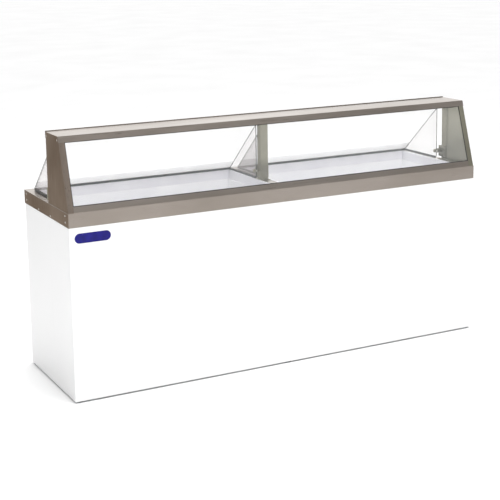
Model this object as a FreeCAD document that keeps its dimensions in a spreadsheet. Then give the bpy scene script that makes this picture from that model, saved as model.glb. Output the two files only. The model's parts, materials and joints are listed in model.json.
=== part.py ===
import FreeCAD, Part
import math
import os
import re
import Sketcher
from FreeCAD import Placement, Rotation, Vector

# Ice cream dipping cabinet: a foamed, white-painted storage body with two freezer wells, a
# stainless counter band, a stainless food-shield hood over the front of the wells and two clear
# lids behind it that swing up under the hood.
# Millimetres. X runs along the counter, the customer's side faces -Y, +Z is up, and the origin is
# on the floor below the middle of the cabinet.

doc = FreeCAD.newDocument("dipping_cabinet")
dims = doc.addObject("Spreadsheet::Sheet", "dims")

# Driving dimensions: alias, value, meaning.
SIZES = [
    ("cabinet_length", 2232, "counter band, end to end"),
    ("cabinet_depth", 640, "counter band, front to rear"),
    ("counter_height", 884, "floor to counter top"),
    ("skirt_height", 66, "depth of the stainless band"),
    ("skirt_sheet", 1.5, "band sheet"),
    ("skirt_lap", 28, "how far the skins run up behind the band"),
    ("skirt_tab", 58, "return of the front and rear bands behind the end bands"),
    ("lap_gap", 0.5, "gap between the band and the skins"),
    ("seam_gap", 0.8, "gap at a butt joint between sheets"),
    ("skin_sheet", 1.2, "painted skin"),
    ("skin_round", 1, "front skin's outer corners"),
    ("side_seam", 277, "front face to the joint in each side skin"),
    ("glide_height", 8, "levelling glides under the frame"),
    ("glide_radius", 20, "pad of a glide"),
    ("glide_pad", 6, "pad thickness"),
    ("glide_nut_radius", 9, "nut above the pad"),
    ("glide_stem_radius", 5, "threaded stem"),
    ("glide_stem", 36, "stem above the frame's underside"),
    ("glide_inset", 22, "glide axis to the frame's edge"),
    ("frame_height", 100, "base frame channel"),
    ("frame_flange", 44, "channel flange width"),
    ("frame_sheet", 2, "channel thickness"),
    ("deck_sheet", 1.2, "deck under foam and machine"),
    ("counter_sheet", 1.5, "counter plate"),
    ("well_front_margin", 58, "counter in front of the wells"),
    ("well_rear_margin", 64, "counter behind the wells"),
    ("well_end_margin", 55, "counter at each end of the wells"),
    ("mullion_width", 66, "counter between the wells"),
    ("collar_wall", 3, "plastic collar wall"),
    ("collar_depth", 47, "collar below the counter"),
    ("collar_lip", 7, "collar flange on the counter"),
    ("collar_rise", 1.5, "collar flange thickness"),
    ("tank_ledge", 4, "tank wall inside the collar"),
    ("tank_sheet", 1.2, "tank wall"),
    ("tank_floor", 200, "floor to the deep tank floor"),
    ("step_floor", 454, "floor to the raised tank floor"),
    ("step_length", 510, "raised floor over the machine"),
    ("step_foam", 60, "foam between tank and machine"),
    ("rebate_depth", 24, "foam set back behind the band"),
    ("rebate_drop", 6, "how far the rebate reaches below the band"),
    ("overshoot", 1, "how far a cut passes beyond its piece"),
    ("coil_radius", 4.8, "evaporator tube"),
    ("coil_gap", 4.9, "evaporator tube to tank wall"),
    ("coil_bend", 20, "evaporator tube bend"),
    ("coil_pitch", 110, "rise of one evaporator turn"),
    ("coil_turns", 3, "evaporator turns round each tank"),
    ("coil_top_drop", 90, "counter to the top evaporator turn"),
    ("coil_fewer", 1, "turns left out above the raised floor"),
    ("hood_rise", 334, "counter to the hood's top sheet"),
    ("hood_depth", 277, "front face to the hood's open rear"),
    ("hood_setback", 104, "lean of the hood's front"),
    ("hood_sheet", 1.5, "canopy sheet"),
    ("canopy_flange", 28, "canopy front and side flanges"),
    ("canopy_rear_flange", 10, "canopy rear flange"),
    ("canopy_hem", 4, "raised hem along the canopy's rear"),
    ("canopy_screw_drop", 18, "hood top to the canopy's screws"),
    ("canopy_screw_edge", 13, "canopy's edges to its screws"),
    ("panel_sheet", 1.5, "hood end panels and sill"),
    ("stile_width", 28, "end panel front and foot flanges"),
    ("sill_height", 27, "front sill below the glass"),
    ("sill_foot", 26, "sill flange on the counter"),
    ("strip_width", 45, "stiffener at each end panel's rear edge"),
    ("strip_sheet", 2, "stiffener sheet"),
    ("gasket_sheet", 1.2, "glazing gasket"),
    ("gasket_show", 3, "gasket seen round the glass"),
    ("glass_sheet", 5, "safety glass"),
    ("retainer_height", 16, "glass retaining strips"),
    ("post_width", 40, "centre post along X"),
    ("post_depth", 36, "centre post along Y"),
    ("post_sheet", 1.5, "centre post wall"),
    ("post_foot", 46, "foot plate along X"),
    ("post_foot_depth", 70, "foot plate along Y"),
    ("post_foot_sheet", 2.5, "foot plate thickness"),
    ("pivot_setback", 8, "hood's rear to the lid pivots"),
    ("pivot_rise", 42, "counter to the lid pivots"),
    ("pin_radius", 4, "lid pivot pin"),
    ("running_gap", 0.06, "radial gap of a turning fit"),
    ("boss_radius", 12, "pivot boss on the end brackets"),
    ("bracket_sheet", 2.5, "end bracket plate"),
    ("saddle_sheet", 1.5, "post bracket plate"),
    ("pin_clearance", 1.5, "lid to knob, and boss to lid"),
    ("bracket_rear", 14, "bracket plate behind the pivot"),
    ("bracket_front", 44, "bracket plate in front of the pivot"),
    ("bracket_below", 32, "bracket plate below the pivot"),
    ("bracket_above", 28, "bracket plate above the pivot"),
    ("bracket_screw_near", 20, "bracket screws in front of the pivot"),
    ("bracket_screw_far", 38, "bracket screws in front of the pivot"),
    ("bracket_screw_rise", 18, "bracket screws above the pivot"),
    ("bracket_screw_fall", 22, "bracket screw below the pivot"),
    ("stop_radius", 3, "lid stop peg"),
    ("stop_reach", 22, "pivot to the stop peg"),
    ("knob_radius", 9, "pivot knob"),
    ("knob_length", 10, "pivot knob"),
    ("lid_end_inset", 33, "band end to a lid"),
    ("lid_post_gap", 3, "centre post to a lid"),
    ("lid_gap", 2, "hood's rear to a lid"),
    ("lid_top_drop", 51, "hood top sheet to a lid's top edge"),
    ("lid_reach", 582, "front face to a lid's rear foot"),
    ("lid_lift", 12, "counter to a lid's bottom edge"),
    ("pane_sheet", 5, "clear lid sheet"),
    ("seal_gap", 0.4, "lid seal to collar flange"),
    ("seal_start", 2, "pivot to the seal's front end"),
    ("bush_radius", 7, "lid pivot bush"),
    ("bush_flange_radius", 10, "lid pivot bush flange"),
    ("bush_flange", 1, "bush flange thickness"),
    ("grip_width", 60, "white strip up the lid"),
    ("grip_sheet", 2.5, "white strip thickness"),
    ("grip_lip", 24, "lifting lip"),
    ("grip_angle", 20, "lifting lip above level, degrees"),
    ("badge_length", 172, "maker's plate"),
    ("badge_height", 46, "maker's plate"),
    ("badge_sheet", 1.4, "maker's plate"),
    ("badge_inset", 113, "band end to plate centre"),
    ("badge_drop", 117, "counter to plate centre"),
    ("bulkhead_sheet", 1, "lining of the machine space"),
    ("grille_sheet", 1.2, "rear grille plate"),
    ("grille_lap", 14, "grille over the rear skin"),
    ("grille_inset", 2, "machine space wall to the grille's edge"),
    ("grille_drop", 4, "grille below the deck"),
    ("grille_rise", 6, "grille above the machine space"),
    ("gland_rise", 40, "grille's lower edge to the cable gland"),
    ("gland_radius", 9.5, "cable gland thread"),
    ("gland_length", 12, "cable gland behind the grille"),
    ("gland_nut", 4, "cable gland nut"),
    ("gland_nut_radius", 14, "cable gland nut"),
    ("slot_height", 8, "grille slot"),
    ("slot_pitch", 22, "grille slot spacing"),
    ("slot_count", 11, "grille slots in a column"),
    ("slot_length", 150, "grille slot"),
    ("slot_margin", 26, "grille edge to slots"),
    ("slot_columns_gap", 20, "gap between slot columns"),
    ("controls_width", 92, "control recess"),
    ("controls_height", 170, "control recess"),
    ("controls_inset", 22, "grille edge to control recess"),
    ("controls_depth", 22, "control recess"),
    ("controls_sheet", 1.5, "control plate"),
    ("controls_wall", 5, "control recess"),
    ("dial_radius", 17, "thermostat knob"),
    ("dial_height", 12, "thermostat knob"),
    ("dial_wing", 2.5, "finger bar on the knob"),
    ("dial_gap", 0.5, "knob to control plate"),
    ("spindle_radius", 3, "thermostat spindle"),
    ("spindle_length", 12, "spindle inside the thermostat"),
    ("thermostat_size", 44, "thermostat body"),
    ("thermostat_depth", 30, "thermostat body"),
    ("thermostat_drop", 46, "recess top to the spindle"),
    ("switch_drop", 122, "recess top to the switch"),
    ("rocker_width", 18, "switch rocker"),
    ("rocker_height", 28, "switch rocker"),
    ("rocker_depth", 9, "switch rocker"),
    ("rocker_slope", 2, "rocker's hollow and tapered sides"),
    ("rocker_tilt", 8, "rocker lean when off, degrees"),
    ("switch_wall", 3, "switch bezel"),
    ("switch_gap", 0.6, "rocker to bezel"),
    ("switch_depth", 14, "switch behind the control plate"),
    ("compressor_radius", 74, "compressor shell"),
    ("compressor_height", 190, "compressor shell"),
    ("compressor_dome", 34, "compressor shell shoulder"),
    ("compressor_lift", 24, "deck to the compressor shell"),
    ("compressor_inset", 190, "compressor axis to the right side"),
    ("compressor_front", 175, "front face to the compressor axis"),
    ("mount_radius", 13, "rubber mounts"),
    ("mount_pitch", 150, "rubber mount spacing"),
    ("mount_edge", 18, "rubber mounts to the plate's edge"),
    ("base_plate_sheet", 3, "compressor base plate"),
    ("condenser_length", 290, "condenser along X"),
    ("condenser_height", 240, "condenser along Z"),
    ("condenser_depth", 60, "condenser along Y"),
    ("condenser_rear", 46, "rear face to the condenser"),
    ("condenser_inset", 30, "machine space wall to the condenser"),
    ("fin_pitch", 10, "condenser fin spacing"),
    ("fin_gap", 7, "space between fins"),
    ("fin_count", 27, "condenser gaps"),
    ("fin_web", 5, "condenser's front and lower plates"),
    ("shroud_depth", 24, "fan shroud"),
    ("shroud_sheet", 1.5, "fan shroud"),
    ("fan_radius", 90, "fan blades"),
    ("fan_gap", 6, "fan to shroud ring"),
    ("fan_hub_radius", 22, "fan hub"),
    ("fan_hub_depth", 16, "fan hub"),
    ("hub_lead", 2, "hub in front of the shroud"),
    ("blade_count", 5, "fan blades"),
    ("blade_sheet", 2, "fan blade"),
    ("blade_width", 46, "fan blade chord"),
    ("blade_lead", 20, "hub axis to a blade's leading edge"),
    ("blade_root", 2, "blade root sunk in the hub"),
    ("blade_pitch", 14, "fan blade angle, degrees"),
    ("motor_radius", 38, "fan motor"),
    ("motor_length", 58, "fan motor"),
    ("motor_gap", 8, "fan hub to motor"),
    ("shaft_radius", 4, "fan shaft"),
    ("shaft_reach", 20, "fan shaft inside the motor"),
    ("stand_width", 48, "motor stand on the shroud's foot"),
    ("stand_depth", 24, "motor stand"),
    ("drier_radius", 11, "filter drier"),
    ("drier_length", 90, "filter drier"),
    ("drier_stub", 12, "pipe stubs on the filter drier"),
    ("drier_inset", 60, "machine space wall to the filter drier"),
    ("drier_front", 170, "front face to the filter drier"),
    ("drier_rise", 40, "deck to the filter drier"),
    ("line_radius", 4, "refrigerant lines"),
    ("line_bend", 14, "refrigerant line bends"),
    ("line_low", 60, "discharge port above the compressor's base"),
    ("line_high", 120, "suction port above the compressor's base"),
    ("line_reach", 60, "lines' first run from the compressor"),
    ("line_rise", 200, "deck to the discharge line's upper run"),
    ("line_side", 30, "condenser to the discharge line"),
    ("line_ceiling", 50, "machine space's top to the suction line"),
    ("drain_radius", 11, "drain pipe"),
    ("drain_bore", 9, "drain pipe bore"),
    ("drain_inset", 120, "well end to drain"),
    ("drain_rear", 90, "well rear to drain"),
    ("drain_height", 60, "floor to the drain outlet"),
    ("drain_flange_radius", 20, "drain flange on the tank floor"),
    ("drain_flange", 2, "drain flange on the tank floor"),
    ("drain_hole_radius", 16, "hole for the drain cap"),
    ("drain_cap_radius", 14, "drain cap"),
    ("drain_cap_depth", 6, "drain cap inside the rear skin"),
    ("hole_gap", 0.5, "clearance round pipes through sheets"),
    ("screw_radius", 1.9, "sheet metal screws"),
    ("screw_hole_radius", 2.2, "holes for them"),
    ("screw_head_radius", 4, "their heads"),
    ("screw_head", 1.6, "their heads"),
    ("screw_length", 6, "under the head"),
    ("flat_head", 0.8, "low heads on the rear"),
    ("bore_reach", 30, "length of a screw hole tool"),
    ("band_screw_edge", 40, "band ends: front face to the front pair"),
    ("band_screw_rear", 32, "band ends: rear face to the rear pair"),
    ("band_screw_high", 15, "counter to the upper screws"),
    ("band_screw_low", 45, "counter to the lower screws"),
    ("band_screw_near", 250, "front face to a lower edge screw"),
    ("band_screw_far", 420, "front face to a lower edge screw"),
    ("band_screw_drop", 56, "counter to the lower edge screws"),
    ("foot_screw_inset", 13, "band end to the end panels' foot screws"),
    ("foot_screw_near", 110, "front face to a foot screw"),
    ("foot_screw_far", 215, "front face to a foot screw"),
    ("sill_screw_inset", 19, "front face to the sill's screws"),
    ("post_screw_edge", 7, "foot plate's front and rear edges to its screws"),
    ("post_screw_gap", 24, "foot plate screws along X"),
]

for row, (alias, size, meaning) in enumerate(SIZES, start=1):
    dims.set(f"A{row}", meaning)
    dims.set(f"B{row}", str(size))
    dims.setAlias(f"B{row}", alias)
doc.recompute()

# Places worked out from the driving dimensions, each as an expression in their names.
PLACES = {
    "right": "cabinet_length / 2",
    "front": "-cabinet_depth / 2",
    "rear": "cabinet_depth / 2",
    "band_bottom": "counter_height - skirt_height",
    "counter_under": "counter_height - counter_sheet",
    "skin_right": "right - skirt_sheet - lap_gap",
    "skin_front": "front + skirt_sheet + lap_gap",
    "skin_rear": "rear - skirt_sheet - lap_gap",
    "core_right": "skin_right - skin_sheet",
    "core_front": "skin_front + skin_sheet",
    "core_rear": "skin_rear - skin_sheet",
    "skin_top": "band_bottom + skirt_lap",
    "band_end": "right - skirt_sheet - seam_gap / 4",
    "deck_under": "glide_height + frame_height",
    "deck_top": "deck_under + deck_sheet",
    "well_front": "front + well_front_margin",
    "well_rear": "rear - well_rear_margin",
    "collar_bottom": "counter_height - collar_depth",
    "collar_top": "counter_height + collar_rise",
    "step_start": "right - well_end_margin - step_length",
    "machine_left": "step_start + step_foam",
    "machine_top": "step_floor - tank_sheet - step_foam",
    "coil_top": "counter_height - coil_top_drop",
    "coil_offset": "tank_sheet - tank_ledge + coil_radius + coil_gap",
    "coil_room": "coil_radius + hole_gap",
    "drain_y": "well_rear - drain_rear",
    "drain_end": "core_rear - drain_cap_depth",
    "hood_rear": "front + hood_depth",
    "hood_top": "counter_height + hood_rise",
    "hood_angle": "atan(hood_setback / hood_rise)",
    "flange_bottom": "hood_top - canopy_flange",
    "canopy_under": "hood_top - hood_sheet",
    "canopy_run": "hood_sheet / cos(hood_angle)",
    "panel_run": "panel_sheet / cos(hood_angle)",
    "gasket_run": "gasket_sheet / cos(hood_angle)",
    "glass_run": "glass_sheet / cos(hood_angle)",
    "panel_back": "canopy_run + panel_run",
    "gasket_back": "panel_back + gasket_run",
    "glass_back": "gasket_back + glass_run",
    "panel_rear": "hood_rear - hood_sheet",
    "panel_face": "hood_sheet + panel_sheet",
    "stiffener_face": "panel_face + strip_sheet",
    "bracket_face": "stiffener_face + bracket_sheet",
    "post_front": "panel_rear - post_depth",
    "post_middle": "panel_rear - post_depth / 2",
    "foot_top": "counter_height + post_foot_sheet",
    "pivot_y": "hood_rear + pivot_setback",
    "pivot_z": "counter_height + pivot_rise",
    "stop_y": "pivot_y - stop_reach",
    "saddle_face": "post_width / 2 + saddle_sheet",
    "lid_post_face": "post_width / 2 + lid_post_gap",
    "lid_end_face": "right - lid_end_inset",
    "lid_front": "hood_rear + lid_gap",
    "lid_top": "hood_top - lid_top_drop",
    "lid_rear": "front + lid_reach",
    "lid_bottom": "counter_height + lid_lift",
    "lid_angle": "atan((lid_top - lid_bottom) / (lid_rear - lid_front))",
    "cheek_rear": "lid_rear - pane_sheet / sin(lid_angle)",
    "cheek_top": "lid_top - pane_sheet / cos(lid_angle)",
    "seal_bottom": "collar_top + seal_gap",
    "lip_angle": "grip_angle * 1 deg",
    "grille_left": "machine_left + grille_inset",
    "grille_right": "core_right - grille_inset",
    "grille_bottom": "deck_under - grille_drop",
    "grille_top": "machine_top + grille_rise",
    "grille_face": "skin_rear + grille_sheet",
    "gland_z": "grille_bottom + gland_rise",
    "controls_right": "grille_right - controls_inset",
    "controls_left": "controls_right - controls_width",
    "controls_top": "grille_top - controls_inset",
    "controls_bottom": "controls_top - controls_height",
    "controls_x": "(controls_left + controls_right) / 2",
    "controls_floor": "grille_face - controls_depth",
    "controls_face": "controls_floor + controls_sheet",
    "dial_z": "controls_top - thermostat_drop",
    "dial_face": "controls_face + dial_gap",
    "switch_z": "controls_top - switch_drop",
    "compressor_x": "right - compressor_inset",
    "compressor_y": "front + compressor_front",
    "compressor_z": "deck_top + compressor_lift",
    "compressor_rear": "compressor_y + compressor_radius",
    "condenser_left": "machine_left + condenser_inset",
    "condenser_right": "condenser_left + condenser_length",
    "condenser_x": "condenser_left + condenser_length / 2",
    "condenser_back": "rear - condenser_rear",
    "condenser_front": "condenser_back - condenser_depth",
    "condenser_top": "deck_top + condenser_height",
    "condenser_z": "deck_top + condenser_height / 2",
    "shroud_front": "condenser_front - shroud_depth",
    "hub_front": "shroud_front - hub_lead",
    "motor_rear": "hub_front - motor_gap",
    "stand_front": "motor_rear - motor_length / 2 - stand_depth / 2",
    "line_turn": "compressor_rear + line_reach",
    "line_z": "deck_top + line_rise",
    "drier_x": "machine_left + drier_inset",
    "drier_y": "front + drier_front",
    "drier_z": "deck_top + drier_rise",
    "badge_x": "-right + badge_inset",
    "badge_z": "counter_height - badge_drop",
    "badge_face": "skin_front - badge_sheet",
    "slots_bottom": "grille_bottom + slot_margin",
}

ALIASES = {alias for alias, size, meaning in SIZES}


def formula(text):
    """The expression with every place spelled out in cells of the sheet."""

    def spell(match):
        word = match.group(0)
        if word in PLACES:
            return "(" + formula(PLACES[word]) + ")"
        return "dims." + word if word in ALIASES else word

    return re.sub(r"[a-z_]+", spell, str(text))


def size(alias):
    return float(dims.get(alias))


def bind(item, prop, text):
    item.setExpression(prop, formula(text))


def place(item, x, y, z):
    bind(item, ".Placement.Base.x", x)
    bind(item, ".Placement.Base.y", y)
    bind(item, ".Placement.Base.z", z)


def hood_front(height):
    """Y of the hood's leaning front face at a height."""
    return f"(front + hood_setback * (({height}) - counter_height) / hood_rise)"


TURNS = {
    "x": Rotation(Vector(0, 1, 0), 90),
    "y": Rotation(Vector(1, 0, 0), -90),
    "z": Rotation(),
}
PLANES = {"x": "YZ_Plane", "y": "XZ_Plane", "z": "XY_Plane"}
SIDES = ("left", "right")

nodes = []


def node(item, name):
    """Marks an object as a finished piece, which is written under this name."""
    item.Label = name
    nodes.append(item)
    return item


def block(low, high, name="block"):
    """A box between two corners."""
    box = doc.addObject("Part::Box", name)
    for prop, a, b in zip(("Length", "Width", "Height"), low, high):
        bind(box, prop, f"({b}) - ({a})")
    place(box, *low)
    return box


def rod(start, axis, radius, length, name="rod"):
    """A cylinder from a centre point along an axis."""
    cylinder = doc.addObject("Part::Cylinder", name)
    cylinder.Placement = Placement(Vector(), TURNS[axis])
    bind(cylinder, "Radius", radius)
    bind(cylinder, "Height", length)
    place(cylinder, *start)
    return cylinder


def fuse(items, name="joined"):
    joined = doc.addObject("Part::MultiFuse", name)
    joined.Shapes = items
    joined.Refine = True
    return joined


def group(items, name="set"):
    together = doc.addObject("Part::Compound", name)
    together.Links = items
    return together


def cut(base, tools, name="trimmed"):
    result = doc.addObject("Part::Cut", name)
    result.Base = base
    result.Tool = tools[0] if len(tools) == 1 else fuse(tools, "tools")
    result.Refine = True
    return result


def origin_item(body, role):
    return next(item for item in body.Origin.OriginFeatures if item.Role == role)


def outline(body, axis, points, start="0"):
    """A closed sketch across an axis, each corner held by two bound distances.

    The corners start on a ring and the distances pull them into place."""
    sketch = body.newObject("Sketcher::SketchObject", "outline")
    sketch.AttachmentSupport = [(origin_item(body, PLANES[axis]), "")]
    sketch.MapMode = "FlatFace"
    sign = "-1 * " if axis == "y" else ""
    bind(sketch, ".AttachmentOffset.Base.z", f"{sign}({start})")
    count = len(points)
    turns = [2 * math.pi * index / count for index in range(count)]
    ring = [Vector(100 * math.cos(turn), 100 * math.sin(turn), 0) for turn in turns]
    for here, there in zip(ring, ring[1:] + ring[:1]):
        sketch.addGeometry(Part.LineSegment(here, there), False)
    for index, corner in enumerate(points):
        sketch.addConstraint(Sketcher.Constraint("Coincident", index, 2, (index + 1) % count, 1))
        for kind, now, text in zip(("DistanceX", "DistanceY"), ring[index], corner):
            held = sketch.addConstraint(Sketcher.Constraint(kind, -1, 1, index, 1, now))
            sketch.renameConstraint(held, f"corner{index}{kind[-1]}")
            bind(sketch, f".Constraints.corner{index}{kind[-1]}", text)
    sketch.Visibility = False
    return sketch


def pads(parts, name="sheet"):
    """A body of pads that share faces. Each part is (axis, points, start, length)."""
    body = doc.addObject("PartDesign::Body", name)
    for axis, points, start, length in parts:
        feature = body.newObject("PartDesign::Pad", "pad")
        feature.Profile = outline(body, axis, points, start)
        feature.Reversed = axis == "y"
        bind(feature, "Length", length)
    return body


def slots(body, axis, points, start, depth, step, count, direction):
    """A pocket cut into the body and repeated along a line of its sketch."""
    doc.recompute()
    sketch = outline(body, axis, points, start)
    pocket = body.newObject("PartDesign::Pocket", "slot")
    pocket.Profile = sketch
    pocket.Reversed = axis == "y"
    bind(pocket, "Length", depth)
    doc.recompute()
    pattern = body.newObject("PartDesign::LinearPattern", "slots")
    pattern.Originals = [pocket]
    pattern.Direction = (sketch, [direction])
    bind(pattern, "Length", f"({step}) * (({count}) - 1)")
    bind(pattern, "Occurrences", count)
    body.Tip = pattern
    doc.recompute()


def rectangle(low, high):
    return [(low[0], low[1]), (high[0], low[1]), (high[0], high[1]), (low[0], high[1])]


def span(side, inner, outer):
    """X limits of something between two distances from the middle, on one side."""
    if side == "left":
        return f"-1 * ({outer})", f"-1 * ({inner})"
    return inner, outer


def mirror(side, distance):
    return f"-1 * ({distance})" if side == "left" else distance


def trim(item, amount):
    return f"({item}) - ({amount})"


def grow(item, amount):
    return f"({item}) + ({amount})"


# ------------------------------------------------------------------ screws and pipes

def bores(spots, axis):
    """Tools that bore one screw hole at each spot, half their length to each side of it."""
    shift = "xyz".index(axis)
    tools = []
    for spot in spots:
        start = list(spot)
        start[shift] = trim(spot[shift], "bore_reach / 2")
        tools.append(rod(start, axis, "screw_hole_radius", "bore_reach", "bore"))
    return group(tools, "bores")


def screw(spot, axis, outward, head="screw_head", length="screw_length"):
    """A screw whose head sits on the surface at the spot and points outward (1 or -1)."""
    shift = "xyz".index(axis)
    head_start = list(spot)
    shank_start = list(spot)
    if outward > 0:
        shank_start[shift] = trim(spot[shift], length)
    else:
        head_start[shift] = trim(spot[shift], head)
    cap = rod(head_start, axis, "screw_head_radius", head, "screw_cap")
    shank = rod(shank_start, axis, "screw_radius", length, "screw_shank")
    return fuse([cap, shank], "screw")


def tube_shape(corners, radius, bend):
    """A round tube along straight runs joined by arcs that touch both runs."""
    edges = []
    here = corners[0]
    for before, corner, after in zip(corners, corners[1:], corners[2:]):
        arrive = (corner - before).normalize()
        leave = (after - corner).normalize()
        half = arrive.getAngle(leave) / 2
        first = corner - arrive * bend * math.tan(half)
        last = corner + leave * bend * math.tan(half)
        inward = (leave - arrive).normalize()
        crown = corner + inward * bend * (1 / math.cos(half) - 1)
        edges.append(Part.LineSegment(here, first).toShape())
        edges.append(Part.Arc(first, crown, last).toShape())
        here = last
    edges.append(Part.LineSegment(here, corners[-1]).toShape())
    section = Part.Wire([Part.makeCircle(radius, corners[0], corners[1] - corners[0])])
    return Part.Wire(edges).makePipeShell([section], True, False)


def tube(spots, radius, bend, name="tube"):
    """A bent tube whose corners are vertices bound to the sheet."""
    corners = [doc.addObject("Part::Vertex", "corner") for spot in spots]
    for corner, spot in zip(corners, spots):
        place(corner, *spot)
    doc.recompute()
    shape = tube_shape([corner.Placement.Base for corner in corners], size(radius), size(bend))
    item = doc.addObject("Part::Feature", name)
    item.Shape = shape
    return item


# ------------------------------------------------------------------ base

def glide_spots():
    reach_x = "(core_right - glide_inset)"
    reach_y = "(core_rear - glide_inset)"
    return [(f"{i} * {reach_x}", f"{j} * {reach_y}") for i in (-1, 0, 1) for j in (-1, 1)]


def drain_places():
    return ("-right + well_end_margin + drain_inset", "mullion_width / 2 + drain_inset")


def build_base():
    low = ("-core_right", "core_front", "glide_height")
    high = ("core_right", "core_rear", "deck_under")
    channel = block(low, high, "channel")
    hollow = block([grow(v, "frame_sheet") for v in low], [trim(v, "frame_sheet") for v in high])
    middle = block(
        (grow(low[0], "frame_flange"), grow(low[1], "frame_flange"), "glide_height - overshoot"),
        (trim(high[0], "frame_flange"), trim(high[1], "frame_flange"), "deck_under + overshoot"),
    )
    through = "frame_sheet + 2 * overshoot"
    holes = [
        rod((x, y, "glide_height - overshoot"), "z", "glide_stem_radius + hole_gap", through)
        for x, y in glide_spots()
    ]
    outlets = [
        rod((x, "core_rear - frame_flange", "drain_height"), "y", "drain_hole_radius", "frame_flange + overshoot")
        for x in drain_places()
    ]
    ring = cut(channel, [hollow, middle] + holes + outlets, "ring")
    bar_bottom, bar_top = "deck_under - 3 * frame_sheet", "deck_under - frame_sheet"
    bars = [
        block(
            (f"{share} * core_right - frame_flange / 2", "core_front + frame_sheet", bar_bottom),
            (f"{share} * core_right + frame_flange / 2", "core_rear - frame_sheet", bar_top),
            "crossbar",
        )
        for share in (-0.5, 0, 0.5)
    ]
    node(fuse([ring] + bars), "base_frame")

    glides = []
    for x, y in glide_spots():
        foot = rod((x, y, "0"), "z", "glide_radius", "glide_pad")
        nut = rod((x, y, "glide_pad"), "z", "glide_nut_radius", "glide_height - glide_pad")
        stem = rod((x, y, "glide_height"), "z", "glide_stem_radius", "glide_stem")
        glides.append(fuse([foot, nut, stem], "glide"))
    node(group(glides), "levelling_glides")

    sheet = block(("-core_right", "core_front", "deck_under"), ("core_right", "core_rear", "deck_top"))
    holes = [
        rod((x, "drain_y", "deck_under - overshoot"), "z", "drain_radius + hole_gap", "deck_sheet + 2 * overshoot")
        for x in drain_places()
    ]
    node(cut(sheet, holes), "deck_plate")


# ------------------------------------------------------------------ painted skins

def band_screw_spots(side):
    x = mirror(side, "right")
    rear_pair = "cabinet_depth - band_screw_rear"
    places = [
        ("band_screw_edge", "band_screw_high"),
        ("band_screw_edge", "band_screw_low"),
        ("band_screw_near", "band_screw_drop"),
        ("band_screw_far", "band_screw_drop"),
        (rear_pair, "band_screw_high"),
        (rear_pair, "band_screw_low"),
    ]
    return [(x, f"front + {along}", f"counter_height - {drop}") for along, drop in places]


def build_skins():
    face = block(("-skin_right", "skin_front", "glide_height"), ("skin_right", "core_front", "skin_top"))
    rounded = doc.addObject("Part::Fillet", "rounded")
    rounded.Base = face
    doc.recompute()
    outer = face.Shape.BoundBox.YMin
    radius = size("skin_round")
    rounded.Edges = [
        (index, radius, radius)
        for index, edge in enumerate(face.Shape.Edges, start=1)
        if edge.BoundBox.YMax < outer + radius and edge.BoundBox.ZLength > radius
        and edge.BoundBox.XLength < radius
    ]
    node(rounded, "front_panel")

    sheet = block(("-skin_right", "core_rear", "glide_height"), ("skin_right", "skin_rear", "skin_top"))
    window = block(
        ("grille_left + grille_lap", "core_rear - overshoot", "grille_bottom + grille_lap"),
        ("grille_right - grille_lap", "skin_rear + overshoot", "grille_top - grille_lap"),
    )
    outlets = [
        rod((x, "core_rear - overshoot", "drain_height"), "y", "drain_hole_radius", "skin_sheet + 2 * overshoot")
        for x in drain_places()
    ]
    node(cut(sheet, [window, bores(grille_screw_spots(), "y")] + outlets), "rear_panel")

    seam = "front + side_seam"
    limits = [("core_front", f"{seam} - seam_gap / 2"), (f"{seam} + seam_gap / 2", "core_rear")]
    sheets = []
    for side in SIDES:
        x_low, x_high = span(side, "core_right", "skin_right")
        for y_low, y_high in limits:
            skin = block((x_low, y_low, "glide_height"), (x_high, y_high, "skin_top"), "side_skin")
            sheets.append(cut(skin, [bores(band_screw_spots(side), "x")], "side_panel"))
    node(group(sheets), "side_panels")


# ------------------------------------------------------------------ wells

def well_box(side, margin, z_low, z_high):
    """A box as wide as the well plus a margin all round."""
    low, high = span(side, "mullion_width / 2", "right - well_end_margin")
    return block(
        (trim(low, margin), trim("well_front", margin), z_low),
        (grow(high, margin), grow("well_rear", margin), z_high),
        "well_box",
    )


def tank_forms(side, shrink, drop, top):
    """The tank's outer or inner form: one box on the left, a deep and a raised one on the right."""
    if side == "left":
        return [well_box(side, f"-1 * ({shrink})", f"tank_floor - ({drop})", top)]
    deep = block(
        (f"mullion_width / 2 + ({shrink})", f"well_front + ({shrink})", f"tank_floor - ({drop})"),
        (f"step_start + tank_ledge - ({shrink})", f"well_rear - ({shrink})", top),
        "deep_form",
    )
    return [deep, well_box(side, f"-1 * ({shrink})", f"step_floor - ({drop})", top)]


def coil_turns(side):
    return "coil_turns" if side == "left" else "(coil_turns - coil_fewer)"


def coil(side):
    """The evaporator: one tube wound down round the tank."""
    low, high = span(side, "mullion_width / 2 - (coil_offset)", "right - well_end_margin + coil_offset")
    near, far = "well_front - coil_offset", "well_rear + coil_offset"
    corners = [(low, near), (high, near), (high, far), (low, far)]
    quarters = 4 * int(size("coil_turns") - (size("coil_fewer") if side == "right" else 0))
    spots = [
        (*corners[step % 4], f"coil_top - coil_pitch * {step} / 4")
        for step in range(quarters + 1)
    ]
    return tube(spots, "coil_radius", "coil_bend", "evaporator")


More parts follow.
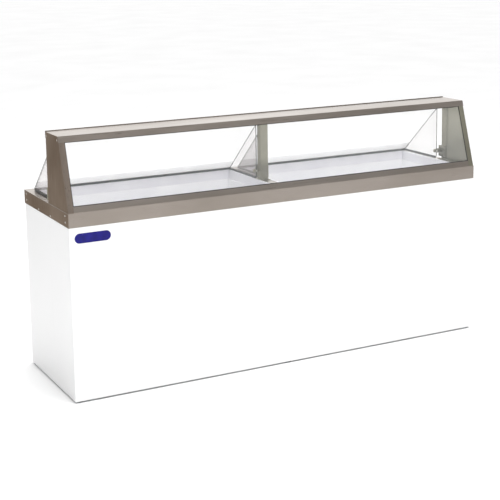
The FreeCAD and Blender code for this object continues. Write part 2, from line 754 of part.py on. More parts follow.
def build_wells():
    cavities = []
    outer_shrink = "tank_ledge - tank_sheet"
    for side, drain_x in zip(SIDES, drain_places()):
        ring = fuse([
            well_box(side, "collar_wall", "collar_bottom", "counter_height"),
            well_box(side, "collar_wall + collar_lip", "counter_height", "collar_top"),
        ])
        opening = well_box(side, "0", "collar_bottom - overshoot", "collar_top + overshoot")
        node(cut(ring, [opening]), f"well_collar_{side}")

        rim = well_box(side, "collar_wall", "collar_bottom - tank_sheet", "collar_bottom")
        shell = fuse(tank_forms(side, outer_shrink, "tank_sheet", "collar_bottom") + [rim])
        inside = tank_forms(side, "tank_ledge", "0", "collar_bottom + overshoot")
        outlet = rod(
            (drain_x, "drain_y", "tank_floor - tank_sheet - overshoot"),
            "z",
            "drain_radius + hole_gap",
            "tank_sheet + 2 * overshoot",
        )
        node(cut(shell, inside + [outlet]), f"tank_{side}")

        cavities += tank_forms(side, outer_shrink, "tank_sheet", "counter_under + overshoot")
        cavities.append(well_box(side, "collar_wall", "collar_bottom - tank_sheet", "counter_under + overshoot"))
        cavities.append(
            well_box(
                side,
                "coil_offset + coil_room",
                f"coil_top - {coil_turns(side)} * coil_pitch - 2 * (coil_room)",
                "coil_top + 2 * (coil_room)",
            )
        )
        cavities.append(
            rod((drain_x, "drain_y", "deck_top - overshoot"), "z", "drain_radius + hole_gap", "tank_floor - deck_top")
        )
    node(group([coil(side) for side in SIDES]), "evaporators")

    core = block(("-core_right", "core_front", "deck_top"), ("core_right", "core_rear", "counter_under"))
    machine = block(
        ("machine_left", "core_front - overshoot", "deck_top - overshoot"),
        ("core_right + overshoot", "core_rear + overshoot", "machine_top"),
    )
    rebate_low = "band_bottom - rebate_drop"
    around = block(
        ("-core_right - overshoot", "core_front - overshoot", rebate_low),
        ("core_right + overshoot", "core_rear + overshoot", "counter_under + overshoot"),
    )
    kept = block(
        ("-core_right + rebate_depth", "core_front + rebate_depth", f"{rebate_low} - overshoot"),
        ("core_right - rebate_depth", "core_rear - rebate_depth", "counter_under + 2 * overshoot"),
    )
    foam = cut(core, cavities + [machine, cut(around, [kept]), bores(post_screw_spots(), "z")])
    node(foam, "insulation_foam")


# ------------------------------------------------------------------ counter and band

def foot_screw_spots(height):
    """Screws through the end panels' foot flanges and the sill into the counter."""
    sides = [
        (mirror(side, "right - foot_screw_inset"), f"front + {along}", height)
        for side in SIDES
        for along in ("foot_screw_near", "foot_screw_far")
    ]
    along_sill = [(f"{share} * right", "front + sill_screw_inset", height) for share in (-0.75, -0.25, 0.25, 0.75)]
    return sides + along_sill


def post_screw_spots(height="counter_height"):
    reach = "(post_foot_depth / 2 - post_screw_edge)"
    return [
        (f"{i} * post_screw_gap / 2", f"post_middle + {j} * {reach}", height)
        for i in (-1, 1)
        for j in (-1, 1)
    ]


def build_counter():
    sheet = block(("-right", "front", "counter_under"), ("right", "rear", "counter_height"))
    over, under = "counter_height + overshoot", "counter_under - overshoot"
    openings = [well_box(side, "collar_wall", under, over) for side in SIDES]
    holes = [bores(foot_screw_spots("counter_height"), "z"), bores(post_screw_spots(), "z")]
    node(cut(sheet, openings + holes), "counter_top")

    holes = [bores(band_screw_spots(side), "x") for side in SIDES]
    for name, y_out, y_in, y_tab in (
        ("band_front", "-rear", "-rear + skirt_sheet", "-rear + skirt_tab"),
        ("band_rear", "rear", "rear - skirt_sheet", "rear - skirt_tab"),
    ):
        near, far = (y_out, y_in) if name == "band_front" else (y_in, y_out)
        tab_near, tab_far = (y_out, y_tab) if name == "band_front" else (y_tab, y_out)
        pieces = [block(("-band_end", near, "band_bottom"), ("band_end", far, "counter_under"), "band")]
        for side in SIDES:
            x_low, x_high = span(side, "band_end - skirt_sheet", "band_end")
            low = (x_low, tab_near, "skin_top + skirt_sheet")
            pieces.append(block(low, (x_high, tab_far, "counter_under - skirt_sheet"), "tab"))
        node(cut(fuse(pieces), holes), name)

    ends = []
    for side, hole in zip(SIDES, holes):
        x_low, x_high = span(side, "right - skirt_sheet", "right")
        strip = block((x_low, "front", "band_bottom"), (x_high, "rear", "counter_under"), "band_strip")
        ends.append(cut(strip, [hole], "band_end"))
    node(group(ends), "band_ends")


# ------------------------------------------------------------------ hood

def leaning(run_from, run_to, low, high):
    """Corners of a leaning strip, set back from the hood's front by two amounts."""
    return [
        (grow(hood_front(low), run_from), low),
        (grow(hood_front(low), run_to), low),
        (grow(hood_front(high), run_to), high),
        (grow(hood_front(high), run_from), high),
    ]


def canopy_screw_spots(side):
    height = "hood_top - canopy_screw_drop"
    x = mirror(side, "right")
    ahead = grow(hood_front(height), "canopy_screw_edge")
    return [(x, "hood_rear - canopy_screw_edge", height), (x, ahead, height)]


def bracket_screw_spots(side):
    x = mirror(side, "right - bracket_face")
    return [
        (x, "pivot_y - bracket_screw_near", "pivot_z + bracket_screw_rise"),
        (x, "pivot_y - bracket_screw_far", "pivot_z + bracket_screw_rise"),
        (x, "pivot_y - bracket_screw_far", "pivot_z - bracket_screw_fall"),
    ]


def build_canopy():
    inner = "hood_rear - hood_sheet"
    profile = [
        (hood_front("hood_top"), "hood_top"),
        (hood_front("flange_bottom"), "flange_bottom"),
        (grow(hood_front("flange_bottom"), "canopy_run"), "flange_bottom"),
        (grow(hood_front("canopy_under"), "canopy_run"), "canopy_under"),
        (inner, "canopy_under"),
        (inner, "hood_top - canopy_rear_flange"),
        ("hood_rear", "hood_top - canopy_rear_flange"),
        ("hood_rear", "hood_top + canopy_hem"),
        (inner, "hood_top + canopy_hem"),
        (inner, "hood_top"),
    ]
    ear = [
        (hood_front("flange_bottom"), "flange_bottom"),
        ("hood_rear", "flange_bottom"),
        ("hood_rear", "hood_top"),
        (hood_front("hood_top"), "hood_top"),
    ]
    folded = pads([
        ("x", profile, "-right", "cabinet_length"),
        ("x", ear, "-right", "hood_sheet"),
        ("x", ear, "right - hood_sheet", "hood_sheet"),
    ])
    node(cut(folded, [bores(canopy_screw_spots(side), "x") for side in SIDES]), "canopy")


def build_end_panels():
    near = grow(hood_front("counter_height"), "canopy_run")
    sheet = [
        (near, "counter_height"),
        ("panel_rear", "counter_height"),
        ("panel_rear", "canopy_under"),
        (grow(hood_front("canopy_under"), "canopy_run"), "canopy_under"),
    ]
    stile = leaning("canopy_run", "panel_back", "counter_height", "canopy_under")
    foot = rectangle((near, "counter_height"), ("panel_rear", "counter_height + panel_sheet"))
    strips = []
    for side in SIDES:
        start = span(side, "right - panel_face", "right - hood_sheet")[0]
        flange = span(side, "right - hood_sheet - stile_width", "right - hood_sheet")[0]
        panel = pads([
            ("x", sheet, start, "panel_sheet"),
            ("x", stile, flange, "stile_width"),
            ("x", foot, flange, "stile_width"),
        ])
        holes = [
            bores(canopy_screw_spots(side), "x"),
            bores(bracket_screw_spots(side), "x"),
            bores(foot_screw_spots("counter_height"), "z"),
        ]
        node(cut(panel, holes), f"hood_end_{side}")

        x_low, x_high = span(side, "right - stiffener_face", "right - panel_face")
        strip = block(
            (x_low, "panel_rear - strip_width", "counter_height + panel_sheet"),
            (x_high, "panel_rear", "canopy_under"),
        )
        holes = [bores(bracket_screw_spots(side), "x"), bores(canopy_screw_spots(side), "x")]
        strips.append(cut(strip, holes, "stiffener"))
    node(group(strips), "hood_stiffeners")


def wide(half, points):
    """A pad across the cabinet, to the same distance either side of the middle."""
    return ("x", points, f"-1 * ({half})", f"2 * ({half})")


def build_glazing():
    between = "right - hood_sheet - stile_width - seam_gap / 2"
    upright = leaning("canopy_run", "panel_back", "counter_height", "counter_height + sill_height")
    near = grow(hood_front("counter_height"), "canopy_run")
    foot = rectangle((near, "counter_height"), (grow(near, "sill_foot"), "counter_height + panel_sheet"))
    sill = pads([wide(between, upright), wide(between, foot)])
    node(cut(sill, [bores(foot_screw_spots("counter_height"), "z")]), "hood_sill")

    inside = "right - panel_face - seam_gap"
    low = "counter_height + panel_sheet + gasket_sheet"
    high = "canopy_under - gasket_sheet"
    gasket = pads([wide(inside, leaning("panel_back", "gasket_back", low, high))])
    edge = "right - hood_sheet - stile_width - gasket_show"
    window = block(
        (f"-1 * ({edge})", "front - overshoot", "counter_height + sill_height + gasket_show"),
        (edge, "hood_rear", "flange_bottom - gasket_show"),
    )
    node(cut(gasket, [window]), "glazing_gasket")
    node(pads([wide(inside, leaning("gasket_back", "glass_back", low, high))]), "front_glass")

    reach = "right - panel_face - stile_width"
    limits = [
        ("counter_height + panel_sheet", "counter_height + panel_sheet + retainer_height"),
        ("canopy_under - retainer_height", "canopy_under"),
    ]
    strips = [
        pads([wide(reach, leaning("glass_back", "glass_back + panel_run", low, high))])
        for low, high in limits
    ]
    node(group(strips), "glass_retainers")


def build_post():
    outer = block(("-post_width / 2", "post_front", "foot_top"), ("post_width / 2", "panel_rear", "canopy_under"))
    inner = block(
        ("post_sheet - post_width / 2", "post_front + post_sheet", "foot_top"),
        ("post_width / 2 - post_sheet", "panel_rear - post_sheet", "canopy_under + overshoot"),
    )
    foot = block(
        ("-post_foot / 2", "post_middle - post_foot_depth / 2", "counter_height"),
        ("post_foot / 2", "post_middle + post_foot_depth / 2", "foot_top"),
    )
    node(cut(fuse([outer, foot]), [inner, bores(post_screw_spots(), "z")]), "centre_post")


# ------------------------------------------------------------------ lid hinges

def build_hinges():
    z_low = "pivot_z - bracket_below"
    z_high = "pivot_z + bracket_above"
    y_high = "pivot_y + bracket_rear"
    pin_end = "pane_sheet + pin_clearance"
    knobs = []
    brackets = []
    for side in SIDES:
        x_low, x_high = span(side, "right - bracket_face", "right - stiffener_face")
        pieces = [block((x_low, "pivot_y - bracket_front", z_low), (x_high, y_high, z_high), "plate")]
        for radius, y, end in (
            ("boss_radius", "pivot_y", "lid_end_face + pin_clearance"),
            ("pin_radius", "pivot_y", f"lid_end_face - ({pin_end})"),
            ("stop_radius", "stop_y", "lid_end_face - pane_sheet"),
        ):
            start = span(side, end, "right - bracket_face")[0]
            pieces.append(rod((start, y, "pivot_z"), "x", radius, f"right - bracket_face - ({end})", "stud"))
        brackets.append(cut(fuse(pieces), [bores(bracket_screw_spots(side), "x")], "end_bracket"))
        start = span(side, f"lid_end_face - ({pin_end}) - knob_length", f"lid_end_face - ({pin_end})")[0]
        knobs.append(rod((start, "pivot_y", "pivot_z"), "x", "knob_radius", "knob_length", "pivot_knob"))
    node(group(brackets), "hinge_brackets")

    low = ("-1 * (saddle_face)", "post_front - saddle_sheet", z_low)
    wrap = [block(low, ("saddle_face", "post_front", z_high), "saddle_front")]
    for side in SIDES:
        x_low, x_high = span(side, "post_width / 2", "saddle_face")
        wrap.append(block((x_low, "post_front", z_low), (x_high, y_high, z_high), "saddle_cheek"))
        for radius, y, end in (
            ("pin_radius", "pivot_y", f"lid_post_face + {pin_end}"),
            ("stop_radius", "stop_y", "lid_post_face + pane_sheet"),
        ):
            start = span(side, "saddle_face", end)[0]
            wrap.append(rod((start, y, "pivot_z"), "x", radius, f"({end}) - (saddle_face)", "stud"))
        start = span(side, f"lid_post_face + {pin_end}", f"lid_post_face + {pin_end} + knob_length")[0]
        knobs.append(rod((start, "pivot_y", "pivot_z"), "x", "knob_radius", "knob_length", "pivot_knob"))
    node(fuse(wrap), "hinge_bracket_post")
    node(group(knobs), "pivot_knobs")


# ------------------------------------------------------------------ lids

def bush(start, flange_start):
    sleeve = rod((start, "pivot_y", "pivot_z"), "x", "bush_radius", "pane_sheet")
    flange = rod((flange_start, "pivot_y", "pivot_z"), "x", "bush_flange_radius", "bush_flange")
    reach = "pane_sheet + 2 * bush_flange + 2 * overshoot"
    bore_start = (trim(start, "bush_flange + overshoot"), "pivot_y", "pivot_z")
    return cut(fuse([sleeve, flange]), [rod(bore_start, "x", "pin_radius + running_gap", reach)], "bush")


def grip_outline():
    """White strip on the lid's lower edge, its rear end folded out as a lifting lip."""
    half_sum = "((lid_angle + lip_angle) / 2)"
    half_gap = "((lid_angle - lip_angle) / 2)"
    up_y = "lid_rear - grip_width * cos(lid_angle)"
    up_z = "lid_bottom + grip_width * sin(lid_angle)"
    tip_y = "lid_rear + grip_lip * cos(lip_angle)"
    tip_z = "lid_bottom + grip_lip * sin(lip_angle)"
    return [
        ("lid_rear", "lid_bottom"),
        (tip_y, tip_z),
        (f"{tip_y} - grip_sheet * sin(lip_angle)", f"{tip_z} + grip_sheet * cos(lip_angle)"),
        (
            f"lid_rear + grip_sheet * sin{half_gap} / cos{half_sum}",
            f"lid_bottom + grip_sheet * cos{half_gap} / cos{half_sum}",
        ),
        (f"{up_y} + grip_sheet * sin(lid_angle)", f"{up_z} + grip_sheet * cos(lid_angle)"),
        (up_y, up_z),
    ]


def build_lid(side):
    x_low, x_high = span(side, "lid_post_face", "lid_end_face")
    length = f"({x_high}) - ({x_low})"
    section = [
        ("lid_front", "lid_top"),
        ("lid_front", "cheek_top"),
        ("cheek_rear", "lid_bottom"),
        ("lid_rear", "lid_bottom"),
    ]
    node(pads([("x", section, x_low, length)]), f"lid_{side}_pane")

    triangle = [("lid_front", "lid_bottom"), ("cheek_rear", "lid_bottom"), ("lid_front", "cheek_top")]
    near, far = x_low, f"({x_high}) - pane_sheet"
    cheeks = []
    seals = [block((x_low, "cheek_rear", "seal_bottom"), (x_high, "lid_rear", "lid_bottom"), "seal_rear")]
    for start in (near, far):
        sheet = pads([("x", triangle, start, "pane_sheet")])
        hole_start = (trim(start, "overshoot"), "pivot_y", "pivot_z")
        hole = rod(hole_start, "x", "bush_radius", "pane_sheet + 2 * overshoot")
        cheeks.append(cut(sheet, [hole], "cheek"))
        low = (start, "pivot_y + seal_start", "seal_bottom")
        seals.append(block(low, (grow(start, "pane_sheet"), "cheek_rear", "lid_bottom"), "seal_side"))
    node(group(cheeks), f"lid_{side}_cheeks")
    node(fuse(seals), f"lid_{side}_seal")
    bushes = [bush(near, trim(near, "bush_flange")), bush(far, x_high)]
    node(group(bushes), f"lid_{side}_bushes")
    node(pads([("x", grip_outline(), x_low, length)]), f"lid_{side}_grip")


# ------------------------------------------------------------------ machine space

def grille_screw_spots():
    xs = ("grille_left + grille_lap / 2", "(grille_left + grille_right) / 2", "grille_right - grille_lap / 2")
    zs = ("grille_bottom + grille_lap / 2", "grille_top - grille_lap / 2")
    return [(x, "grille_face", z) for x in xs for z in zs]


def build_grille():
    whole = rectangle(("grille_left", "grille_bottom"), ("grille_right", "grille_top"))
    plate = pads([("y", whole, "skin_rear", "grille_sheet")])
    for column in (0, 1):
        x_low = f"grille_left + slot_margin + {column} * (slot_length + slot_columns_gap)"
        slot = rectangle((x_low, "slots_bottom"), (f"{x_low} + slot_length", "slots_bottom + slot_height"))
        slots(plate, "y", slot, "grille_face", "grille_sheet", "slot_pitch", "slot_count", "V_Axis")
    window = block(
        ("controls_left", "skin_rear - overshoot", "controls_bottom"),
        ("controls_right", "grille_face + overshoot", "controls_top"),
    )
    hole_start = ("controls_x", "skin_rear - overshoot", "gland_z")
    hole = rod(hole_start, "y", "gland_radius + hole_gap", "grille_sheet + 2 * overshoot")
    node(cut(plate, [window, bores(grille_screw_spots(), "y"), hole]), "rear_grille")

    start = ("controls_x", "skin_rear - gland_length", "gland_z")
    thread = rod(start, "y", "gland_radius", "gland_length + grille_sheet")
    nut = rod(("controls_x", "skin_rear - gland_nut", "gland_z"), "y", "gland_nut_radius", "gland_nut")
    node(fuse([thread, nut]), "cable_gland")


def switch_box(margin, y_low, y_high):
    return block(
        (f"controls_x - rocker_width / 2 - {margin}", y_low, f"switch_z - rocker_height / 2 - {margin}"),
        (f"controls_x + rocker_width / 2 + {margin}", y_high, f"switch_z + rocker_height / 2 + {margin}"),
        "switch_box",
    )


def build_controls():
    tray = block(
        ("controls_left - controls_wall", "controls_floor", "controls_bottom - controls_wall"),
        ("controls_right + controls_wall", "skin_rear", "controls_top + controls_wall"),
    )
    hollow = block(
        ("controls_left", "controls_face", "controls_bottom"),
        ("controls_right", "skin_rear + overshoot", "controls_top"),
    )
    hole_start = ("controls_x", "controls_floor - overshoot", "dial_z")
    spindle_hole = rod(hole_start, "y", "spindle_radius + hole_gap", "controls_sheet + 2 * overshoot")
    switch_hole = switch_box("switch_wall", "controls_floor - overshoot", "controls_face + overshoot")
    node(cut(tray, [hollow, spindle_hole, switch_hole]), "control_recess")

    half = "thermostat_size / 2"
    case = block(
        (f"controls_x - {half}", "controls_floor - thermostat_depth", f"dial_z - {half}"),
        (f"controls_x + {half}", "controls_floor", f"dial_z + {half}"),
    )
    bore_start = ("controls_x", "controls_floor - spindle_length - overshoot", "dial_z")
    bore = rod(bore_start, "y", "spindle_radius + running_gap", "spindle_length + 2 * overshoot")
    node(cut(case, [bore]), "thermostat")

    dial = rod(("controls_x", "dial_face", "dial_z"), "y", "dial_radius", "dial_height")
    spindle_start = ("controls_x", "controls_floor - spindle_length", "dial_z")
    spindle = rod(spindle_start, "y", "spindle_radius", "spindle_length + controls_sheet + dial_gap")
    wing = block(
        ("controls_x - dial_wing", "dial_face + dial_height", "dial_z - dial_radius + dial_wing"),
        ("controls_x + dial_wing", "dial_face + dial_height + dial_wing", "dial_z + dial_radius - dial_wing"),
    )
    node(fuse([dial, spindle, wing]), "thermostat_knob")

    bezel = switch_box("switch_wall", "controls_floor - switch_depth", "controls_face + switch_wall")
    well = switch_box("switch_gap", "controls_floor - switch_depth + switch_wall", "controls_face + rocker_depth")
    node(cut(bezel, [well]), "switch_housing")

    waist = [
        ("-rocker_depth / 2", "-rocker_height / 2 + rocker_slope"),
        ("rocker_depth / 2", "-rocker_height / 2 + rocker_slope / 2"),
        ("rocker_depth / 2 - rocker_slope", "0"),
        ("rocker_depth / 2", "rocker_height / 2 - rocker_slope / 2"),
        ("-rocker_depth / 2", "rocker_height / 2 - rocker_slope"),
    ]
    rocker = pads([("x", waist, "-rocker_width / 2", "rocker_width")])
    rocker.Placement = Placement(Vector(), Rotation(Vector(1, 0, 0), size("rocker_tilt")))
    place(rocker, "controls_x", "controls_face", "switch_z")
    node(rocker, "switch_rocker")


def build_compressor():
    profile = [
        ("0", "0"),
        ("compressor_radius - compressor_dome", "0"),
        ("compressor_radius", "compressor_dome"),
        ("compressor_radius", "compressor_height - compressor_dome"),
        ("compressor_radius - compressor_dome", "compressor_height"),
        ("0", "compressor_height"),
    ]
    shell = doc.addObject("PartDesign::Body", "shell")
    sketch = outline(shell, "y", profile)
    turned = shell.newObject("PartDesign::Revolution", "turned")
    turned.Profile = sketch
    turned.ReferenceAxis = (sketch, ["V_Axis"])
    turned.Angle = 360
    place(shell, "compressor_x", "compressor_y", "compressor_z")
    reach = "(mount_pitch / 2 + mount_edge)"
    plate_low = "compressor_z - base_plate_sheet"
    plate = block(
        (f"compressor_x - {reach}", f"compressor_y - {reach}", plate_low),
        (f"compressor_x + {reach}", f"compressor_y + {reach}", "compressor_z"),
    )
    node(fuse([shell, plate]), "compressor")
    mounts = [
        rod(
            (f"compressor_x + {i} * mount_pitch / 2", f"compressor_y + {j} * mount_pitch / 2", "deck_top"),
            "z",
            "mount_radius",
            f"{plate_low} - (deck_top)",
            "mount",
        )
        for i in (-1, 1)
        for j in (-1, 1)
    ]
    node(group(mounts), "rubber_mounts")


def build_condenser():
    whole = rectangle(("condenser_left", "condenser_front"), ("condenser_right", "condenser_back"))
    body = pads([("z", whole, "deck_top", "condenser_height")])
    gap_low = "condenser_left + fin_pitch"
    space = rectangle(
        (gap_low, "condenser_front + fin_web"),
        (f"{gap_low} + fin_gap", "condenser_back + overshoot"),
    )
    slots(body, "z", space, "condenser_top", "condenser_height - fin_web", "fin_pitch", "fin_count", "H_Axis")
    node(body, "condenser")


def build_fan():
    shell = block(
        ("condenser_left", "shroud_front", "deck_top"), ("condenser_right", "condenser_front", "condenser_top")
    )
    hollow = block(
        ("condenser_left + shroud_sheet", "shroud_front + shroud_sheet", "deck_top + shroud_sheet"),
        ("condenser_right - shroud_sheet", "condenser_front + overshoot", "condenser_top - shroud_sheet"),
    )
    mouth_start = ("condenser_x", "shroud_front - overshoot", "condenser_z")
    mouth = rod(mouth_start, "y", "fan_radius + fan_gap", "shroud_sheet + 2 * overshoot")
    stand = block(
        ("condenser_x - stand_width / 2", "stand_front", "deck_top"),
        ("condenser_x + stand_width / 2", "stand_front + stand_depth", "condenser_z"),
    )
    foot = block(
        ("condenser_x - stand_width / 2", "stand_front", "deck_top"),
        ("condenser_x + stand_width / 2", "shroud_front + shroud_sheet", "deck_top + shroud_sheet"),
    )
    saddle_start = ("condenser_x", "stand_front - overshoot", "condenser_z")
    saddle = rod(saddle_start, "y", "motor_radius", "stand_depth + 2 * overshoot")
    node(fuse([cut(shell, [hollow, mouth]), cut(stand, [saddle]), foot]), "fan_shroud")

    wheel = doc.addObject("PartDesign::Body", "wheel")
    hub = wheel.newObject("PartDesign::AdditiveCylinder", "hub")
    bind(hub, "Radius", "fan_hub_radius")
    bind(hub, "Height", "fan_hub_depth")
    doc.recompute()
    blade = wheel.newObject("PartDesign::AdditiveBox", "blade")
    bind(blade, "Length", "fan_radius - fan_hub_radius + blade_root")
    bind(blade, "Width", "blade_width")
    bind(blade, "Height", "blade_sheet")
    blade.AttachmentSupport = [(origin_item(wheel, "XY_Plane"), "")]
    blade.MapMode = "FlatFace"
    blade.AttachmentOffset = Placement(Vector(), Rotation(Vector(1, 0, 0), size("blade_pitch")))
    bind(blade, ".AttachmentOffset.Base.x", "fan_hub_radius - blade_root")
    bind(blade, ".AttachmentOffset.Base.y", "-blade_lead")
    bind(blade, ".AttachmentOffset.Base.z", "blade_sheet / 2")
    doc.recompute()
    around = wheel.newObject("PartDesign::PolarPattern", "blades")
    around.Originals = [blade]
    around.Axis = (origin_item(wheel, "Z_Axis"), [""])
    around.Angle = 360
    bind(around, "Occurrences", "blade_count")
    wheel.Tip = around
    doc.recompute()
    bore = rod(("0", "0", "-overshoot"), "z", "shaft_radius", "fan_hub_depth + 2 * overshoot")
    turned = cut(wheel, [bore])
    turned.Placement = Placement(Vector(), TURNS["y"])
    place(turned, "condenser_x", "hub_front", "condenser_z")
    node(turned, "fan_blade")

    shaft_start = "motor_rear - shaft_reach"
    shaft_length = f"hub_front + fan_hub_depth - ({shaft_start})"
    node(rod(("condenser_x", shaft_start, "condenser_z"), "y", "shaft_radius", shaft_length), "fan_shaft")
    motor = rod(("condenser_x", "motor_rear - motor_length", "condenser_z"), "y", "motor_radius", "motor_length")
    bore_start = ("condenser_x", f"{shaft_start} - overshoot", "condenser_z")
    bore = rod(bore_start, "y", "shaft_radius + running_gap", "shaft_reach + 2 * overshoot")
    node(cut(motor, [bore]), "fan_motor")


def build_lines():
    discharge = [
        ("compressor_x", "compressor_rear", "compressor_z + line_low"),
        ("compressor_x", "line_turn", "compressor_z + line_low"),
        ("compressor_x", "line_turn", "line_z"),
        ("condenser_right + line_side", "line_turn", "line_z"),
        ("condenser_right + line_side", "condenser_front + condenser_depth / 2", "line_z"),
        ("condenser_right", "condenser_front + condenser_depth / 2", "line_z"),
    ]
    suction_x = "compressor_x - compressor_radius - line_reach"
    suction_z = "machine_top - line_ceiling"
    suction = [
        ("compressor_x - compressor_radius", "compressor_y", "compressor_z + line_high"),
        (suction_x, "compressor_y", "compressor_z + line_high"),
        (suction_x, "compressor_y", suction_z),
        ("machine_left + bulkhead_sheet", "compressor_y", suction_z),
    ]
    drier = fuse([
        rod(("drier_x", "drier_y", "drier_z"), "y", "drier_radius", "drier_length"),
        rod(("drier_x", "drier_y - drier_stub", "drier_z"), "y", "line_radius", "drier_length + 2 * drier_stub"),
    ])
    lines = [tube(spots, "line_radius", "line_bend") for spots in (discharge, suction)]
    node(group(lines + [drier]), "refrigerant_lines")


def build_bulkhead():
    wall = block(
        ("machine_left", "core_front", "deck_top"), ("machine_left + bulkhead_sheet", "core_rear", "machine_top")
    )
    roof = block(
        ("machine_left", "core_front", "machine_top - bulkhead_sheet"), ("core_right", "core_rear", "machine_top")
    )
    node(fuse([wall, roof]), "machine_bulkhead")


# ------------------------------------------------------------------ drains, plate and screws

def build_drains():
    low = "drain_height - drain_radius"
    pipes = []
    caps = []
    for x in drain_places():
        outer = fuse([
            rod((x, "drain_y", low), "z", "drain_radius", f"tank_floor - ({low})"),
            rod((x, "drain_y", "drain_height"), "y", "drain_radius", "drain_end - drain_y"),
            rod((x, "drain_y", "tank_floor"), "z", "drain_flange_radius", "drain_flange"),
        ])
        down = rod((x, "drain_y", "drain_height"), "z", "drain_bore", "tank_floor")
        out = rod((x, "drain_y", "drain_height"), "y", "drain_bore", "drain_end - drain_y + overshoot")
        pipes.append(cut(outer, [down, out], "drain_pipe"))
        caps.append(rod((x, "drain_end", "drain_height"), "y", "drain_cap_radius", "rear - lap_gap - drain_end"))
    node(group(pipes), "drain_pipes")
    node(group(caps), "drain_caps")


def build_badge():
    half = "(badge_length - badge_height) / 2"
    pieces = [
        rod((f"badge_x + {i} * {half}", "badge_face", "badge_z"), "y", "badge_height / 2", "badge_sheet")
        for i in (-1, 1)
    ]
    pieces.append(
        block(
            (f"badge_x - {half}", "badge_face", "badge_z - badge_height / 2"),
            (f"badge_x + {half}", "skin_front", "badge_z + badge_height / 2"),
        )
    )
    node(fuse(pieces), "badge_plate")


def build_screws():
    outside = {"left": -1, "right": 1}
    band = []
    hood = []
    for side in SIDES:
        band += [screw(spot, "x", outside[side]) for spot in band_screw_spots(side)]
        band += [screw(spot, "x", outside[side]) for spot in canopy_screw_spots(side)]
        hood += [screw(spot, "x", -outside[side]) for spot in bracket_screw_spots(side)]
    hood += [screw(spot, "z", 1) for spot in foot_screw_spots("counter_height + panel_sheet")]
    hood += [screw(spot, "z", 1) for spot in post_screw_spots("foot_top")]
    node(group(band), "band_screws")
    node(group(hood), "hood_screws")
    through = "grille_sheet + skin_sheet"
    node(group([screw(spot, "y", 1, "flat_head", through) for spot in grille_screw_spots()]), "grille_screws")


build_base()
build_skins()
build_wells()
build_counter()
build_canopy()
build_end_panels()
build_glazing()
build_post()
build_hinges()
for lid_side in SIDES:
    build_lid(lid_side)
build_grille()
build_controls()
build_compressor()
build_condenser()
build_fan()
build_lines()
build_bulkhead()
build_drains()
build_badge()
build_screws()
doc.recompute()

failed = [item.Label for item in doc.Objects if {"Invalid", "Error"} & set(item.State)]
for item in nodes:
    if item.Shape.isNull() or not item.Shape.isValid() or not item.Shape.Solids:
        failed.append(item.Label)
if failed:
    raise RuntimeError("not built: " + ", ".join(failed))

os.makedirs("parts", exist_ok=True)
for item in nodes:
    item.Shape.exportStep(os.path.join("parts", item.Label + ".step"))
print(len(nodes), "pieces")
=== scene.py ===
import json
import math

import bmesh
import bpy
from mathutils import Matrix, Vector


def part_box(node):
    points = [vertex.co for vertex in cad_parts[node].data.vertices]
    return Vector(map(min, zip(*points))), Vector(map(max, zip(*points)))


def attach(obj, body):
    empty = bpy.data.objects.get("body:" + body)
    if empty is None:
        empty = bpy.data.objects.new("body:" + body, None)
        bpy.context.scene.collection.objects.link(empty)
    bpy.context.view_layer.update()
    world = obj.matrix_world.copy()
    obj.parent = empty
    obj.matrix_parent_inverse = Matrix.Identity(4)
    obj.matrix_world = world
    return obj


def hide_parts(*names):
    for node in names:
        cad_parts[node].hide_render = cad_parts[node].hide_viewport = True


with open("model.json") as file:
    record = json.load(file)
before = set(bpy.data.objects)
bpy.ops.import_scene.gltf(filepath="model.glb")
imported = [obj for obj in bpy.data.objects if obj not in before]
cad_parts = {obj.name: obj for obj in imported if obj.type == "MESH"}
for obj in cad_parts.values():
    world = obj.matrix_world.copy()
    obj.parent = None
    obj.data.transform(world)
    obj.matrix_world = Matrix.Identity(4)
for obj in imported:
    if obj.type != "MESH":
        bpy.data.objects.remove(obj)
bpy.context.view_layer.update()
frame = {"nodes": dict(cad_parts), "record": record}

MM = 0.001
SIDES = ("left", "right")
METAL = {"Metallic": 1.0}
USUAL = {"From Min": 0.3, "From Max": 0.7}  # where most of a noise pattern lies
MIX_DARK, MIX_LIGHT, MIX_RESULT = 6, 7, 2  # the colour sockets of a Mix node


# ---------------------------------------------------------------- materials

def linear(code):
    """An sRGB hex colour as linear RGBA."""
    channels = [int(code[i:i + 2], 16) / 255 for i in (0, 2, 4)]
    return [c / 12.92 if c <= 0.04045 else ((c + 0.055) / 1.055) ** 2.4 for c in channels] + [1.0]


def add(tree, kind, settings=None, links=None):
    """A node with its settings and inputs; a link's value is the socket it comes from."""
    made = tree.nodes.new(kind)
    for name, value in (settings or {}).items():
        if isinstance(name, str) and hasattr(made, name):
            setattr(made, name, value)
        else:
            made.inputs[name].default_value = value
    for name, socket in (links or {}).items():
        tree.links.new(socket, made.inputs[name])
    return made


def shell(name, settings=None):
    """A material with its shader and the object coordinates its patterns start from."""
    material = bpy.data.materials.new(name)
    material.use_nodes = True
    tree = material.node_tree
    tree.nodes.clear()
    shader = add(tree, "ShaderNodeBsdfPrincipled", settings)
    add(tree, "ShaderNodeOutputMaterial", links={"Surface": shader.outputs[0]})
    coords = add(tree, "ShaderNodeTexCoord").outputs["Object"]
    return material, tree, shader, coords


def mottle(tree, coords, size_mm, detail=3.0, stretch=(1, 1, 1)):
    """An uneven pattern with blotches about size_mm across, drawn out along each axis."""
    scale = [1 / (MM * size_mm * s) for s in stretch]
    moved = add(tree, "ShaderNodeMapping", {"Scale": scale}, {"Vector": coords})
    settings = {"Scale": 1.0, "Detail": detail}
    return add(tree, "ShaderNodeTexNoise", settings, {"Vector": moved.outputs[0]}).outputs["Fac"]


